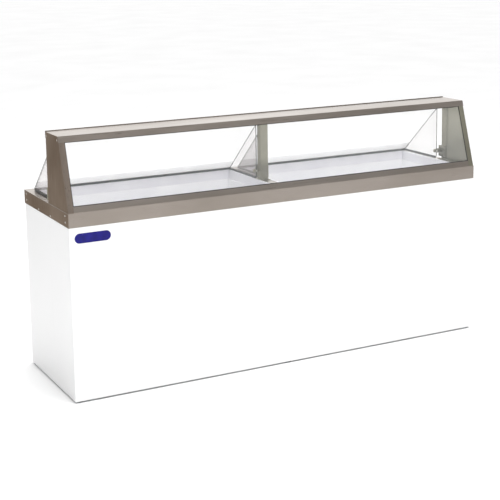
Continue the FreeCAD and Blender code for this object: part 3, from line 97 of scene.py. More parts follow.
def tones(tree, shader, pattern, dark, light):
    """Colour that runs from dark to light with a pattern."""
    spread = add(tree, "ShaderNodeMapRange", USUAL, {"Value": pattern})
    mix = add(tree, "ShaderNodeMix", {
        "data_type": "RGBA", MIX_DARK: linear(dark), MIX_LIGHT: linear(light),
    }, {"Factor": spread.outputs[0]})
    tree.links.new(mix.outputs[MIX_RESULT], shader.inputs["Base Color"])


def rough(tree, shader, pattern, low, high):
    """Roughness that runs from low to high with a pattern."""
    spread = add(tree, "ShaderNodeMapRange", {**USUAL, "To Min": low, "To Max": high},
                 {"Value": pattern})
    tree.links.new(spread.outputs[0], shader.inputs["Roughness"])


def relief(tree, shader, pattern, height_mm, strength):
    """Shallow relief that is height_mm deep where the pattern is strongest."""
    made = add(tree, "ShaderNodeBump", {"Strength": strength, "Distance": height_mm * MM},
               {"Height": pattern})
    tree.links.new(made.outputs[0], shader.inputs["Normal"])


def brushed_stainless(name, stretch, dark, light, edge):
    """Type 304 stainless sheet, belt-brushed: fine lines along the sheet that blur reflections
    across them, a faint drift in tone, and a few duller patches where it has been wiped. The lines
    are about 0.3 mm apart on the real sheet and are drawn coarser so that they show."""
    material, tree, shader, coords = shell(name, {
        **METAL, "Anisotropic": 0.3, "Specular Tint": linear(edge),
    })
    tones(tree, shader, mottle(tree, coords, 260, 3.0, (2, 1, 1)), dark, light)
    rough(tree, shader, mottle(tree, coords, 3.0, 4.0, stretch), 0.27, 0.42)
    relief(tree, shader, mottle(tree, coords, 1.6, 4.0, stretch), 0.02, 0.5)
    return material


def polished_stainless():
    """Cold-headed stainless screws: bright and smooth, with tool marks in the recess."""
    material, tree, shader, coords = shell("polished_stainless", {
        **METAL, "Base Color": linear("c9c6c0"),
    })
    rough(tree, shader, mottle(tree, coords, 1.5), 0.16, 0.34)
    relief(tree, shader, mottle(tree, coords, 0.8), 0.02, 0.4)
    return material


def white_enamel():
    """Baked white enamel on steel sheet: glossy, with a shallow orange peel and a faint drift."""
    material, tree, shader, coords = shell("white_enamel")
    tones(tree, shader, mottle(tree, coords, 700, 1.0), "e6e6e6", "e9e9e9")
    rough(tree, shader, mottle(tree, coords, 500, 1.0), 0.28, 0.3)
    relief(tree, shader, mottle(tree, coords, 5.0, 2.0), 0.02, 0.2)
    return material


def coated_aluminium():
    """Aluminium sheet with a baked cool white coating, duller where frost has been wiped off."""
    material, tree, shader, coords = shell("coated_aluminium")
    tones(tree, shader, mottle(tree, coords, 180), "f5f5f8", "fcfcfd")
    rough(tree, shader, mottle(tree, coords, 45), 0.3, 0.55)
    relief(tree, shader, mottle(tree, coords, 4.0, 4.0), 0.08, 0.4)
    return material


def white_plastic(name, dark, light, depth_mm):
    """Extruded white plastic: even and slightly glossy, with faint die lines along the extrusion
    and a little light carried through it."""
    material, tree, shader, coords = shell(name, {
        "IOR": 1.53, "Subsurface Weight": 0.6,
        "Subsurface Scale": depth_mm * MM, "Subsurface Radius": (1, 1, 1),
    })
    tones(tree, shader, mottle(tree, coords, 90), dark, light)
    rough(tree, shader, mottle(tree, coords, 3, 3.0, (40, 1, 1)), 0.24, 0.38)
    relief(tree, shader, mottle(tree, coords, 2, 2.0, (60, 1, 1)), 0.02, 0.3)
    return material


def nylon():
    """Moulded nylon: milky, with a soft moulded grain."""
    material, tree, shader, coords = shell("moulded_nylon", {"IOR": 1.53})
    tones(tree, shader, mottle(tree, coords, 12), "dcd9cd", "ece9df")
    rough(tree, shader, mottle(tree, coords, 4), 0.36, 0.55)
    relief(tree, shader, mottle(tree, coords, 1.5), 0.03, 0.4)
    return material


def clear_sheet(name, code, face_alpha, rim_alpha, bend):
    """Float glass or cast acrylic: almost nothing face on, more of a sheen at a glancing angle,
    and faint wiping smears."""
    material, tree, shader, coords = shell(name, {"Base Color": linear(code), "IOR": bend})
    facing = add(tree, "ShaderNodeLayerWeight", {"Blend": 0.35}).outputs["Facing"]
    alpha = add(tree, "ShaderNodeMapRange", {"To Min": face_alpha, "To Max": rim_alpha},
                {"Value": facing})
    smears = add(tree, "ShaderNodeMapRange", {**USUAL, "To Min": 0.9, "To Max": 1.1},
                 {"Value": mottle(tree, coords, 160, 3.0, (3, 1, 1))})
    seen = add(tree, "ShaderNodeMath", {"operation": "MULTIPLY", "use_clamp": True},
               {0: alpha.outputs[0], 1: smears.outputs[0]})
    tree.links.new(seen.outputs[0], shader.inputs["Alpha"])
    rough(tree, shader, mottle(tree, coords, 80, 4.0), 0.03, 0.09)
    return material


def edge_painted_shade(name, dark, light):
    """Ground or flamed edge of clear sheet, drawn as a darker line with a soft gloss: the dark tone
    is painted shade, the shade seen through a clear sheet's edge.
    """
    material, tree, shader, coords = shell(name, {"Alpha": 0.92, "IOR": 1.5})
    tones(tree, shader, mottle(tree, coords, 30), dark, light)
    rough(tree, shader, mottle(tree, coords, 6), 0.1, 0.3)
    return material


def dark_grey_vinyl():
    """Extruded vinyl, drawn dark grey, which gives the dark line along the well's rear rim; cloudy
    and slightly tacky, so duller than the sheet it is on.
    """
    material, tree, shader, coords = shell("dark_grey_vinyl")
    tones(tree, shader, mottle(tree, coords, 40), "3c3f40", "595c5d")
    rough(tree, shader, mottle(tree, coords, 10), 0.28, 0.45)
    return material


def black_rubber():
    """Moulded neoprene: near black, matt, greyer where it is dusty."""
    material, tree, shader, coords = shell("neoprene")
    tones(tree, shader, mottle(tree, coords, 25), "151516", "2a2a2b")
    rough(tree, shader, mottle(tree, coords, 6), 0.6, 0.85)
    relief(tree, shader, mottle(tree, coords, 1.2), 0.05, 0.4)
    return material


def urethane_foam():
    """Poured polyurethane foam: straw yellow, with closed cells and darker skins."""
    material, tree, shader, coords = shell("urethane_foam", {"Roughness": 0.9})
    tones(tree, shader, mottle(tree, coords, 60), "c9ab62", "e6d193")
    cells = add(tree, "ShaderNodeTexVoronoi", {"Scale": 1 / (3 * MM)}, {"Vector": coords})
    relief(tree, shader, cells.outputs["Distance"], 0.6, 0.6)
    return material


def galvanised():
    """Hot-dip galvanised sheet: cool grey with zinc spangle in crystals about 15 mm across."""
    material, tree, shader, coords = shell("galvanised_sheet", METAL)
    cells = add(tree, "ShaderNodeTexVoronoi", {"Scale": 1 / (15 * MM)}, {"Vector": coords})
    tones(tree, shader, cells.outputs["Color"], "8c9296", "b3b8ba")
    rough(tree, shader, cells.outputs["Color"], 0.32, 0.55)
    relief(tree, shader, mottle(tree, coords, 8), 0.05, 0.3)
    return material


def copper():
    """Drawn copper tube: pinkish orange, browner where it has tarnished."""
    material, tree, shader, coords = shell("drawn_copper", METAL)
    tones(tree, shader, mottle(tree, coords, 35, 4.0), "8d5237", "cf8a63")
    rough(tree, shader, mottle(tree, coords, 12), 0.24, 0.5)
    relief(tree, shader, mottle(tree, coords, 2), 0.03, 0.3)
    return material


def mill_aluminium():
    """Mill-finish aluminium fins and fan blades: light grey, softly streaked, a little dusty."""
    material, tree, shader, coords = shell("mill_aluminium", METAL)
    tones(tree, shader, mottle(tree, coords, 30), "a3a6a8", "c8cacc")
    rough(tree, shader, mottle(tree, coords, 4, 3.0, (1, 1, 12)), 0.3, 0.52)
    relief(tree, shader, mottle(tree, coords, 2, 3.0, (1, 1, 12)), 0.03, 0.4)
    return material


def black_enamel():
    """Dipped black enamel on pressed steel: satin, with runs and a fine dust."""
    material, tree, shader, coords = shell("black_enamel")
    tones(tree, shader, mottle(tree, coords, 50, 4.0), "101113", "27282a")
    rough(tree, shader, mottle(tree, coords, 14), 0.3, 0.55)
    relief(tree, shader, mottle(tree, coords, 5), 0.06, 0.4)
    return material


def zinc_plate():
    """Zinc-plated steel: bluish grey, with turning marks."""
    material, tree, shader, coords = shell("zinc_plate", METAL)
    tones(tree, shader, mottle(tree, coords, 10), "8f9496", "b6b9ba")
    rough(tree, shader, mottle(tree, coords, 2, 3.0, (8, 8, 1)), 0.26, 0.46)
    relief(tree, shader, mottle(tree, coords, 1.2, 2.0, (8, 8, 1)), 0.02, 0.4)
    return material


def black_plastic():
    """Moulded ABS with a spark-eroded grain: dark grey and matt."""
    material, tree, shader, coords = shell("black_abs")
    tones(tree, shader, mottle(tree, coords, 20), "191a1c", "28292b")
    rough(tree, shader, mottle(tree, coords, 3), 0.42, 0.62)
    relief(tree, shader, mottle(tree, coords, 0.9), 0.04, 0.5)
    return material


def red_rocker():
    """Red polycarbonate rocker: glossy, a little translucent."""
    material, tree, shader, coords = shell("red_polycarbonate", {"IOR": 1.58})
    tones(tree, shader, mottle(tree, coords, 8), "941a15", "b52a22")
    rough(tree, shader, mottle(tree, coords, 3), 0.14, 0.3)
    return material


def blue_enamel():
    """Baked blue enamel on a plate: deep blue with a low gloss and a slight mottle."""
    material, tree, shader, coords = shell("blue_enamel", {"Specular IOR Level": 0.2})
    tones(tree, shader, mottle(tree, coords, 25), "131060", "1b1877")
    rough(tree, shader, mottle(tree, coords, 9), 0.28, 0.42)
    relief(tree, shader, mottle(tree, coords, 3), 0.02, 0.3)
    return material


def pale_floor():
    """Sealed pale studio floor: matt and even, with a soft drift in tone."""
    material, tree, shader, coords = shell("studio_floor")
    tones(tree, shader, mottle(tree, coords, 900), "f4f4f4", "f9f9f9")
    rough(tree, shader, mottle(tree, coords, 300), 0.78, 0.92)
    return material


LENGTHWISE = (60, 1, 1)  # brushing that runs along the counter
UPRIGHT = (1, 1, 60)  # brushing that runs up and down

FINISHES = {
    "long_steel": brushed_stainless(
        "brushed_stainless_long", LENGTHWISE, "8a827a", "99918a", "ffffff"),
    # A darker copy of the same stainless with a greyer edge tint: painted shade for the band ends,
    # the left hood end and the canopy's end faces, which stand in shade.
    "deep_steel": brushed_stainless(
        "brushed_stainless_painted_shade", UPRIGHT, "7b7067", "90857b", "aaa29b"),
    # An upright-brushed copy of the same stainless, greener and lighter than the shaded copy:
    # painted reflection, standing for the highlight on the right hood end's inner face; the post,
    # stiffeners, brackets and knobs wear it too.
    "upright_steel_painted_light": brushed_stainless(
        "brushed_stainless_upright_painted_light", UPRIGHT, "848173", "9e9b8c", "d8d8d0"),
    "screw_steel": polished_stainless(),
    "enamel": white_enamel(),
    "tank": coated_aluminium(),
    "collar": white_plastic("white_abs_collar", "ecebf1", "f3f2f7", 4),
    "grip": white_plastic("white_pvc_grip", "f4f4f4", "fbfbfb", 25),
    "nylon": nylon(),
    "glass": clear_sheet("float_glass", "f6f9f8", 0.015, 0.3, 1.52),
    "acrylic": clear_sheet("cast_acrylic", "f3f0f0", 0.02, 0.2, 1.49),
    # The lid cheeks are the same cast acrylic, drawn pinker, darker and more opaque: painted
    # reflection.
    "cheek_acrylic_painted_reflection": clear_sheet("cast_acrylic_cheek_painted_reflection", "dcd4d3", 0.04, 0.42, 1.49),
    # Dark edge colours: painted shade; the green of the glass edge is its own.
    "glass_edge": edge_painted_shade("glass_edge_painted_shade", "26302c", "44514c"),
    "acrylic_edge": edge_painted_shade("acrylic_edge_painted_shade", "2b2f2e", "4c5150"),
    "vinyl": dark_grey_vinyl(),
    "rubber": black_rubber(),
    "foam": urethane_foam(),
    "zinc_sheet": galvanised(),
    "copper": copper(),
    "aluminium": mill_aluminium(),
    "black_enamel": black_enamel(),
    "zinc": zinc_plate(),
    "black_plastic": black_plastic(),
    "red": red_rocker(),
    "blue": blue_enamel(),
    "floor": pale_floor(),
}

WEARS = {
    "long_steel": [
        "band_front", "band_rear", "counter_top", "canopy", "hood_sill", "glass_retainers",
    ],
    "deep_steel": ["band_ends", "hood_end_left"],
    "upright_steel_painted_light": [
        "hood_end_right", "hood_stiffeners", "centre_post", "hinge_bracket_post",
        "hinge_brackets", "pivot_knobs",
    ],
    "screw_steel": ["band_screws", "hood_screws", "grille_screws"],
    "enamel": ["front_panel", "side_panels", "rear_panel", "rear_grille"],
    "tank": ["tank_left", "tank_right"],
    "collar": ["well_collar_left", "well_collar_right"],
    "grip": ["lid_left_grip", "lid_right_grip"],
    "nylon": ["lid_left_bushes", "lid_right_bushes", "drain_pipes"],
    "glass": ["front_glass"],
    "acrylic": ["lid_left_pane", "lid_right_pane"],
    "cheek_acrylic_painted_reflection": ["lid_left_cheeks", "lid_right_cheeks"],
    "vinyl": ["lid_left_seal", "lid_right_seal"],
    "rubber": ["glazing_gasket", "rubber_mounts"],
    "foam": ["insulation_foam"],
    "zinc_sheet": [
        "base_frame", "deck_plate", "machine_bulkhead", "fan_shroud", "control_recess",
    ],
    "copper": ["evaporators", "refrigerant_lines"],
    "aluminium": ["condenser", "fan_blade"],
    "black_enamel": ["compressor", "fan_motor"],
    "zinc": ["levelling_glides", "fan_shaft"],
    "black_plastic": [
        "cable_gland", "drain_caps", "thermostat", "thermostat_knob", "switch_housing",
    ],
    "red": ["switch_rocker"],
    "blue": ["badge_plate"],
}

for finish, names in WEARS.items():
    for name in names:
        for held in frame["nodes"][name].material_slots:
            held.material = FINISHES[finish]

RECORD = frame["record"]
BODIES = {name: body for body, names in RECORD["behaviour"]["bodies"].items() for name in names}


# ---------------------------------------------------------------- shaping

TOUCHING = 1e-6  # corners closer than this are one
FLAT = math.radians(0.5)  # faces that lean less than this from each other are one
EDGE_ANGLE = math.radians(40)  # edges sharper than this are rounded
CREASE = math.radians(35)  # edges sharper than this stay crisp under smooth shading
SIDEWAYS = 0.7  # the least X of the normal of a face that looks along the counter


def merged(node):
    """The CAD piece's surface with its corners joined."""
    form = bmesh.new()
    form.from_mesh(frame["nodes"][node].data)
    bmesh.ops.remove_doubles(form, verts=form.verts, dist=TOUCHING)
    return form


def flattened(node):
    """The CAD piece's surface with each flat face in one."""
    form = merged(node)
    bmesh.ops.dissolve_limit(form, angle_limit=FLAT, verts=form.verts, edges=form.edges)
    form.normal_update()
    return form


def solids(node):
    """Each solid of a piece as a list of its corner points."""
    form = merged(node)
    found = []
    waiting = set(form.verts)
    for start in form.verts:
        if start not in waiting:
            continue
        waiting.remove(start)
        reached = [start]
        for corner in reached:
            for edge in corner.link_edges:
                other = edge.other_vert(corner)
                if other in waiting:
                    waiting.remove(other)
                    reached.append(other)
        found.append([corner.co.copy() for corner in reached])
    form.free()
    return found


def piece(name, form, node, finish, *others):
    """A shape made into an object that stands for the CAD piece."""
    mesh = bpy.data.meshes.new(name)
    form.to_mesh(mesh)
    form.free()
    return adopt(name, mesh, node, finish, *others)


def adopt(name, mesh, node, finish, *others):
    """An object round a mesh that stands for the CAD piece and moves with its body."""
    made = bpy.data.objects.new(name, mesh)
    bpy.context.scene.collection.objects.link(made)
    if not mesh.materials:
        mesh.materials.append(FINISHES[finish])
        for extra in others:
            mesh.materials.append(FINISHES[extra])
    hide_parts(node)
    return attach(made, BODIES[node])


def bevel(made, width_mm):
    """Rounds a piece's sharp edges."""
    rounded = made.modifiers.new("edges", "BEVEL")
    rounded.width = width_mm * MM
    rounded.segments = 2
    rounded.limit_method = "ANGLE"
    rounded.angle_limit = EDGE_ANGLE
    for face in made.data.polygons:
        face.use_smooth = False
    return made


def softened(node, finish, width_mm, *others):
    """The CAD piece again with its sharp edges rounded; faces that look along the counter get the
    second finish, if there is one."""
    form = flattened(node)
    for face in form.faces:
        face.material_index = 1 if others and abs(face.normal.x) > SIDEWAYS else 0
    return bevel(piece(node + "_finished", form, node, finish, *others), width_mm)


def block(form, centre, size):
    """A box in the form; its corners are returned."""
    corners = bmesh.ops.create_cube(form, size=1.0)["verts"]
    place = Matrix.Translation(centre) @ Matrix.Diagonal((*size, 1))
    bmesh.ops.transform(form, verts=corners, matrix=place)
    return corners


def lathe(form, profile, centre, axis, segments=48, rib=0.0, ribs=0):
    """Turns (distance along the axis, radius) pairs round an axis, with ribs if asked for."""
    turn = Vector((0, 0, 1)).rotation_difference(Vector(axis)).to_matrix()
    rings = []
    for along, radius in profile:
        ring = []
        for step in range(segments):
            angle = 2 * math.pi * step / segments
            reach = max(radius - rib * (0.5 - 0.5 * math.cos(ribs * angle)), 0.0)
            spot = Vector((reach * math.cos(angle), reach * math.sin(angle), along))
            ring.append(form.verts.new(Vector(centre) + turn @ spot))
        rings.append(ring)
    for here, there in zip(rings, rings[1:]):
        for step in range(segments):
            after = (step + 1) % segments
            form.faces.new((here[step], here[after], there[after], there[step]))
    form.faces.new(list(reversed(rings[0])))
    form.faces.new(rings[-1])


def smooth(made):
    """Smooth shading that keeps the sharper edges crisp."""
    for face in made.data.polygons:
        face.use_smooth = True
    form = bmesh.new()
    form.from_mesh(made.data)
    for edge in form.edges:
        if len(edge.link_faces) == 2 and edge.calc_face_angle() > CREASE:
            edge.smooth = False
    form.to_mesh(made.data)
    form.free()
    return made


def extent(points):
    """The lowest and highest corner of the box round some points."""
    low = Vector([min(point[i] for point in points) for i in range(3)])
    high = Vector([max(point[i] for point in points) for i in range(3)])
    return low, high


# ---------------------------------------------------------------- geometry nodes

RIPPLE_TURN = 210.0  # radians of ripple in each metre of a fin
RIPPLE_HEIGHT = 0.4 * MM


def geometry_tree(name, sizes):
    """A tree with a geometry input and output and one named input for each size."""
    tree = bpy.data.node_groups.new(name, "GeometryNodeTree")
    tree.interface.new_socket("Geometry", in_out="INPUT", socket_type="NodeSocketGeometry")
    tree.interface.new_socket("Geometry", in_out="OUTPUT", socket_type="NodeSocketGeometry")
    for word in sizes:
        tree.interface.new_socket(word, in_out="INPUT", socket_type="NodeSocketFloat")
    given = tree.nodes.new("NodeGroupInput")
    return tree, given


def close_tree(tree, geometry, finish):
    """Ends a tree: its copies made real and given their finish."""
    real = add(tree, "GeometryNodeRealizeInstances", links={"Geometry": geometry})
    dressed = add(tree, "GeometryNodeSetMaterial", {"Material": FINISHES[finish]},
                  {"Geometry": real.outputs[0]})
    out = tree.nodes.new("NodeGroupOutput")
    tree.links.new(dressed.outputs[0], out.inputs[0])


def grown(name, tree, mesh, sizes):
    """What a tree makes of a mesh, as a plain mesh."""
    seed = bpy.data.objects.new(name, mesh)
    bpy.context.scene.collection.objects.link(seed)
    maker = seed.modifiers.new("maker", "NODES")
    maker.node_group = tree
    for item in tree.interface.items_tree:
        if item.in_out == "INPUT" and item.name in sizes:
            maker[item.identifier] = sizes[item.name]
    evaluated = seed.evaluated_get(bpy.context.evaluated_depsgraph_get())
    result = bpy.data.meshes.new_from_object(evaluated)
    bpy.data.objects.remove(seed)
    result.name = name
    return result


def screw_tree():
    """A tapered head with a cross recess on every point, facing the way it was driven from."""
    tree, given = geometry_tree("cross_head_screws", ("Radius", "Height"))
    radius, height = given.outputs["Radius"], given.outputs["Height"]
    shares = {
        "crown": (radius, 0.72), "bar_length": (radius, 1.1), "bar_width": (radius, 0.2),
        "bar_lift": (height, 0.9),
    }
    size = {}
    for word, (whole, share) in shares.items():
        part = add(tree, "ShaderNodeMath", {"operation": "MULTIPLY", 1: share}, {0: whole})
        size[word] = part.outputs[0]
    head = add(tree, "GeometryNodeMeshCone", {"Vertices": 24}, {
        "Radius Bottom": radius, "Radius Top": size["crown"], "Depth": height,
    })
    carved = add(tree, "GeometryNodeMeshBoolean", {"operation": "DIFFERENCE"}, {0: head.outputs[0]})
    lift = add(tree, "ShaderNodeCombineXYZ", links={"Z": size["bar_lift"]})
    for x, y in (("bar_length", "bar_width"), ("bar_width", "bar_length")):
        sides = add(tree, "ShaderNodeCombineXYZ", links={"X": size[x], "Y": size[y], "Z": height})
        bar = add(tree, "GeometryNodeMeshCube", links={"Size": sides.outputs[0]})
        raised = add(tree, "GeometryNodeTransform", links={
            "Geometry": bar.outputs[0], "Translation": lift.outputs[0],
        })
        tree.links.new(raised.outputs[0], carved.inputs[1])
    facing = add(tree, "GeometryNodeInputNamedAttribute", {
        "data_type": "FLOAT_VECTOR", "Name": "facing",
    })
    turned = add(tree, "FunctionNodeAlignRotationToVector", {"axis": "Z"},
                 {"Vector": facing.outputs[0]})
    placed = add(tree, "GeometryNodeInstanceOnPoints", links={
        "Points": given.outputs["Geometry"], "Instance": carved.outputs[0],
        "Rotation": turned.outputs[0],
    })
    close_tree(tree, placed.outputs[0], "screw_steel")
    return tree


def louvre_tree():
    """A leaning slat on every point."""
    tree, given = geometry_tree("louvre_slats", ("Length", "Width", "Sheet", "Lean"))
    size = add(tree, "ShaderNodeCombineXYZ", links={
        "X": given.outputs["Length"], "Y": given.outputs["Width"], "Z": given.outputs["Sheet"],
    })
    slat = add(tree, "GeometryNodeMeshCube", links={"Size": size.outputs[0]})
    lean = add(tree, "ShaderNodeCombineXYZ", links={"X": given.outputs["Lean"]})
    placed = add(tree, "GeometryNodeInstanceOnPoints", links={
        "Points": given.outputs["Geometry"], "Instance": slat.outputs[0],
        "Rotation": lean.outputs[0],
    })
    close_tree(tree, placed.outputs[0], "enamel")
    return tree


def fin_tree():
    """A thin plate on every point, rippled along its depth."""
    tree, given = geometry_tree("fin_stack", ("Deep", "Tall", "Sheet"))
    size = add(tree, "ShaderNodeCombineXYZ", links={
        "X": given.outputs["Sheet"], "Y": given.outputs["Deep"], "Z": given.outputs["Tall"],
    })
    fin = add(tree, "GeometryNodeMeshCube", {"Vertices X": 2, "Vertices Y": 5, "Vertices Z": 2},
              {"Size": size.outputs[0]})
    across = add(tree, "GeometryNodeInputPosition")
    apart = add(tree, "ShaderNodeSeparateXYZ", links={"Vector": across.outputs[0]})
    turns = add(tree, "ShaderNodeMath", {"operation": "MULTIPLY", 1: RIPPLE_TURN},
                {0: apart.outputs["Y"]})
    wave = add(tree, "ShaderNodeMath", {"operation": "SINE"}, {0: turns.outputs[0]})
    swing = add(tree, "ShaderNodeMath", {"operation": "MULTIPLY", 1: RIPPLE_HEIGHT},
                {0: wave.outputs[0]})
    lift = add(tree, "ShaderNodeCombineXYZ", links={"X": swing.outputs[0]})
    rippled = add(tree, "GeometryNodeSetPosition", links={
        "Geometry": fin.outputs[0], "Offset": lift.outputs[0],
    })
    placed = add(tree, "GeometryNodeInstanceOnPoints", links={
        "Points": given.outputs["Geometry"], "Instance": rippled.outputs[0],
    })
    close_tree(tree, placed.outputs[0], "aluminium")
    return tree


def point_mesh(name, points, facings=()):
    """Loose points, each with the way it faces if that is given."""
    mesh = bpy.data.meshes.new(name)
    mesh.from_pydata(points, [], [])
    if facings:
        held = mesh.attributes.new("facing", "FLOAT_VECTOR", "POINT")
        for index, facing in enumerate(facings):
            held.data[index].vector = facing
    return mesh


# ---------------------------------------------------------------- pieces

SCREW_ROUND = 0.2 * MM  # a screw is this nearly as wide as it is high
SCREW_STEP = 0.5 * MM  # the least a screw's head stands out past its thread
POST_REACH = 500 * MM  # knobs nearer the middle than this are the ones on the post
KNOB_SHAPE = (
    (0, 0.7), (0.1, 0.98), (0.2, 1), (0.75, 1), (0.8, 0.9), (0.92, 0.86), (1, 0.7),
)  # shares of a knob's length and of its radius
BLADES, BLADE_ROWS, BLADE_COLUMNS = 5, 8, 7
HUB_RADIUS, BLADE_REACH, BLADE_SHEET = 22 * MM, 90 * MM, 1.6 * MM
BLADE_CAMBER, BLADE_SWEEP = 2.2 * MM, 6 * MM
HALF_CHORD, CHORD_SWELL, SWELL_TURN = 16 * MM, 10 * MM, 2.2
ROOT_PITCH, TIP_PITCH = math.radians(34), math.radians(20)


def head_place(points):
    """Where a screw's head sits, the way it faces, its radius and its height. The axis is the one
    the screw is round about, with the head's rim at one end and the thread's at the other."""
    low, high = extent(points)
    size = high - low
    middle = (low + high) / 2
    for axis in range(3):
        others = [i for i in range(3) if i != axis]
        spread = [math.hypot(*(point[i] - middle[i] for i in others)) for point in points]
        ends = []
        for end in (low[axis], high[axis]):
            ends.append(max(
                reach for point, reach in zip(points, spread) if abs(point[axis] - end) < TOUCHING))
        round_about = abs(size[others[0]] - size[others[1]]) < SCREW_ROUND
        if round_about and abs(ends[0] - ends[1]) > SCREW_STEP:
            head_axis, head_ends, head_spread = axis, ends, spread
    radius = max(head_ends)
    sign = 1 if head_ends[1] > head_ends[0] else -1
    tip = (high if sign > 0 else low)[head_axis]
    height = max(
        abs(point[head_axis] - tip) for point, reach in zip(points, head_spread)
        if reach > 0.9 * radius)
    facing = Vector([sign if i == head_axis else 0.0 for i in range(3)])
    seat = middle.copy()
    seat[head_axis] = tip - sign * height
    return seat, facing, radius, height


def build_screws():
    """Heads with a cross recess in place of the plain screws."""
    tree = screw_tree()
    for node in ("band_screws", "hood_screws", "grille_screws"):
        seats, facings, radii, heights = zip(*(head_place(points) for points in solids(node)))
        name = node + "_heads"
        sizes = {"Radius": radii[0], "Height": heights[0]}
        mesh = grown(name, tree, point_mesh(node, seats, facings), sizes)
        adopt(name, mesh, node, "screw_steel")


def build_knobs():
    """Knurled knobs whose rims are eased towards both ends, turned to face the lid's middle."""
    form = bmesh.new()
    for points in solids("pivot_knobs"):
        low, high = extent(points)
        middle = (low + high) / 2
        radius = (high.z - low.z) / 2
        length = high.x - low.x
        at_the_post = abs(low.x) <= POST_REACH
        towards = -1 if (middle.x > 0) != at_the_post else 1
        start = high.x if towards < 0 else low.x
        profile = [(length * along, radius * wide) for along, wide in KNOB_SHAPE]
        lathe(form, profile, (start, middle.y, middle.z), (towards, 0, 0), 96, radius * 0.07, 24)
    bmesh.ops.recalc_face_normals(form, faces=form.faces)
    smooth(piece("pivot_knobs_knurled", form, "pivot_knobs", "upright_steel_painted_light"))


def build_glides():
    """Six turned feet, each with a hexagonal nut and a threaded stem."""
    nut_radius, nut_low, nut_high = 9 * MM, 6 * MM, 8 * MM
    crest, root, shank, half_pitch = 5.0 * MM, 4.5 * MM, 4.2 * MM, 0.75 * MM
    form = bmesh.new()
    for points in solids("levelling_glides"):
        low, high = extent(points)
        radius = (high.x - low.x) / 2
        top = high.z - low.z
        centre = ((low.x + high.x) / 2, (low.y + high.y) / 2, low.z)
        foot = [(0, radius * 0.94), (1 * MM, radius), (3 * MM, radius), (5 * MM, radius * 0.8),
                (nut_low, radius * 0.5)]
        lathe(form, foot, centre, (0, 0, 1))
        lathe(form, [(nut_low, nut_radius), (nut_high, nut_radius)], centre, (0, 0, 1), 6)
        steps = int((top - nut_high) / half_pitch)
        stem = [(nut_high + step * half_pitch, crest if step % 2 else root)
                for step in range(steps)]
        lathe(form, stem + [(top, shank)], centre, (0, 0, 1), 24)
    bmesh.ops.recalc_face_normals(form, faces=form.faces)
    smooth(piece("levelling_glides_turned", form, "levelling_glides", "zinc"))


def clear_piece(node, finish, edge_finish, thin_mm):
    """Clear sheet whose narrow cut edges get their own finish."""
    form = flattened(node)
    for face in form.faces:
        longest = max(edge.calc_length() for edge in face.edges)
        face.material_index = 1 if face.calc_area() < longest * thin_mm * MM else 0
    bevel(piece(node + "_polished", form, node, finish, edge_finish), 0.5)


def build_clear():
    """The glass and the lids' clear sheets."""
    clear_piece("front_glass", "glass", "glass_edge", 7)
    for side in SIDES:
        clear_piece(f"lid_{side}_pane", "acrylic", "acrylic_edge", 9)
        clear_piece(f"lid_{side}_cheeks", "cheek_acrylic_painted_reflection", "acrylic_edge", 9)


def build_softened():
    """Folded, moulded and extruded pieces with their edges rounded, by a width in millimetres."""
    # The canopy's faces that look along the counter get the darker copy of the stainless: painted
    # shade.
    softened("canopy", "long_steel", 0.7, "deep_steel")
    for node, finish, width in (
        ("band_front", "long_steel", 0.7),
        ("band_rear", "long_steel", 0.7),
        ("band_ends", "deep_steel", 0.7),
        ("hood_end_left", "deep_steel", 0.6),
        # The right hood end wears the lighter upright copy: painted reflection.
        ("hood_end_right", "upright_steel_painted_light", 0.6),
        ("hood_sill", "long_steel", 0.6),
        ("well_collar_left", "collar", 0.7),
        ("well_collar_right", "collar", 0.7),
        ("hinge_bracket_post", "upright_steel_painted_light", 0.5),
        ("switch_rocker", "red", 0.8),
        ("badge_plate", "blue", 0.6),
    ):
        softened(node, finish, width)
    for side in SIDES:
        softened(f"lid_{side}_grip", "grip", 1.0)


def build_compressor():
    """A domed can with a welded seam and a terminal cover, on its base plate."""
    low, high = extent(solids("compressor")[0])
    mounts_top = extent(solids("rubber_mounts")[0])[1].z
    sheet, radius, dome = 3 * MM, 74 * MM, 46 * MM
    squash, crown = 0.8, 0.45  # the dome's height against a round one's, its top's radius
    x, y = (low.x + high.x) / 2, (low.y + high.y) / 2
    bottom = mounts_top + sheet
    tall = high.z - bottom
    form = bmesh.new()
    block(form, (x, y, mounts_top + sheet / 2), (high.x - low.x, high.y - low.y, sheet))
    arc = [math.pi / 2 * step / 8 for step in range(9)]
    cap = [(dome * (1 - math.cos(a)) * squash, radius * (crown + (1 - crown) * math.sin(a)))
           for a in arc]
    seam = tall * 0.5
    waist = [(seam - 5 * MM, radius), (seam - 4 * MM, radius), (seam, radius * 0.985),
             (seam + 4 * MM, radius)]
    top = [(tall - along, wide) for along, wide in reversed(cap)]
    lathe(form, cap + waist + top, (x, y, bottom), (0, 0, 1), 64)
    cover = [(0, 17 * MM), (14 * MM, 17 * MM), (16 * MM, 15 * MM)]
    lathe(form, cover, (x - radius * 0.94, y - 10 * MM, bottom + 70 * MM), (-1, 0, 0), 24)
    bmesh.ops.recalc_face_normals(form, faces=form.faces)
    smooth(piece("compressor_shell", form, "compressor", "black_enamel"))


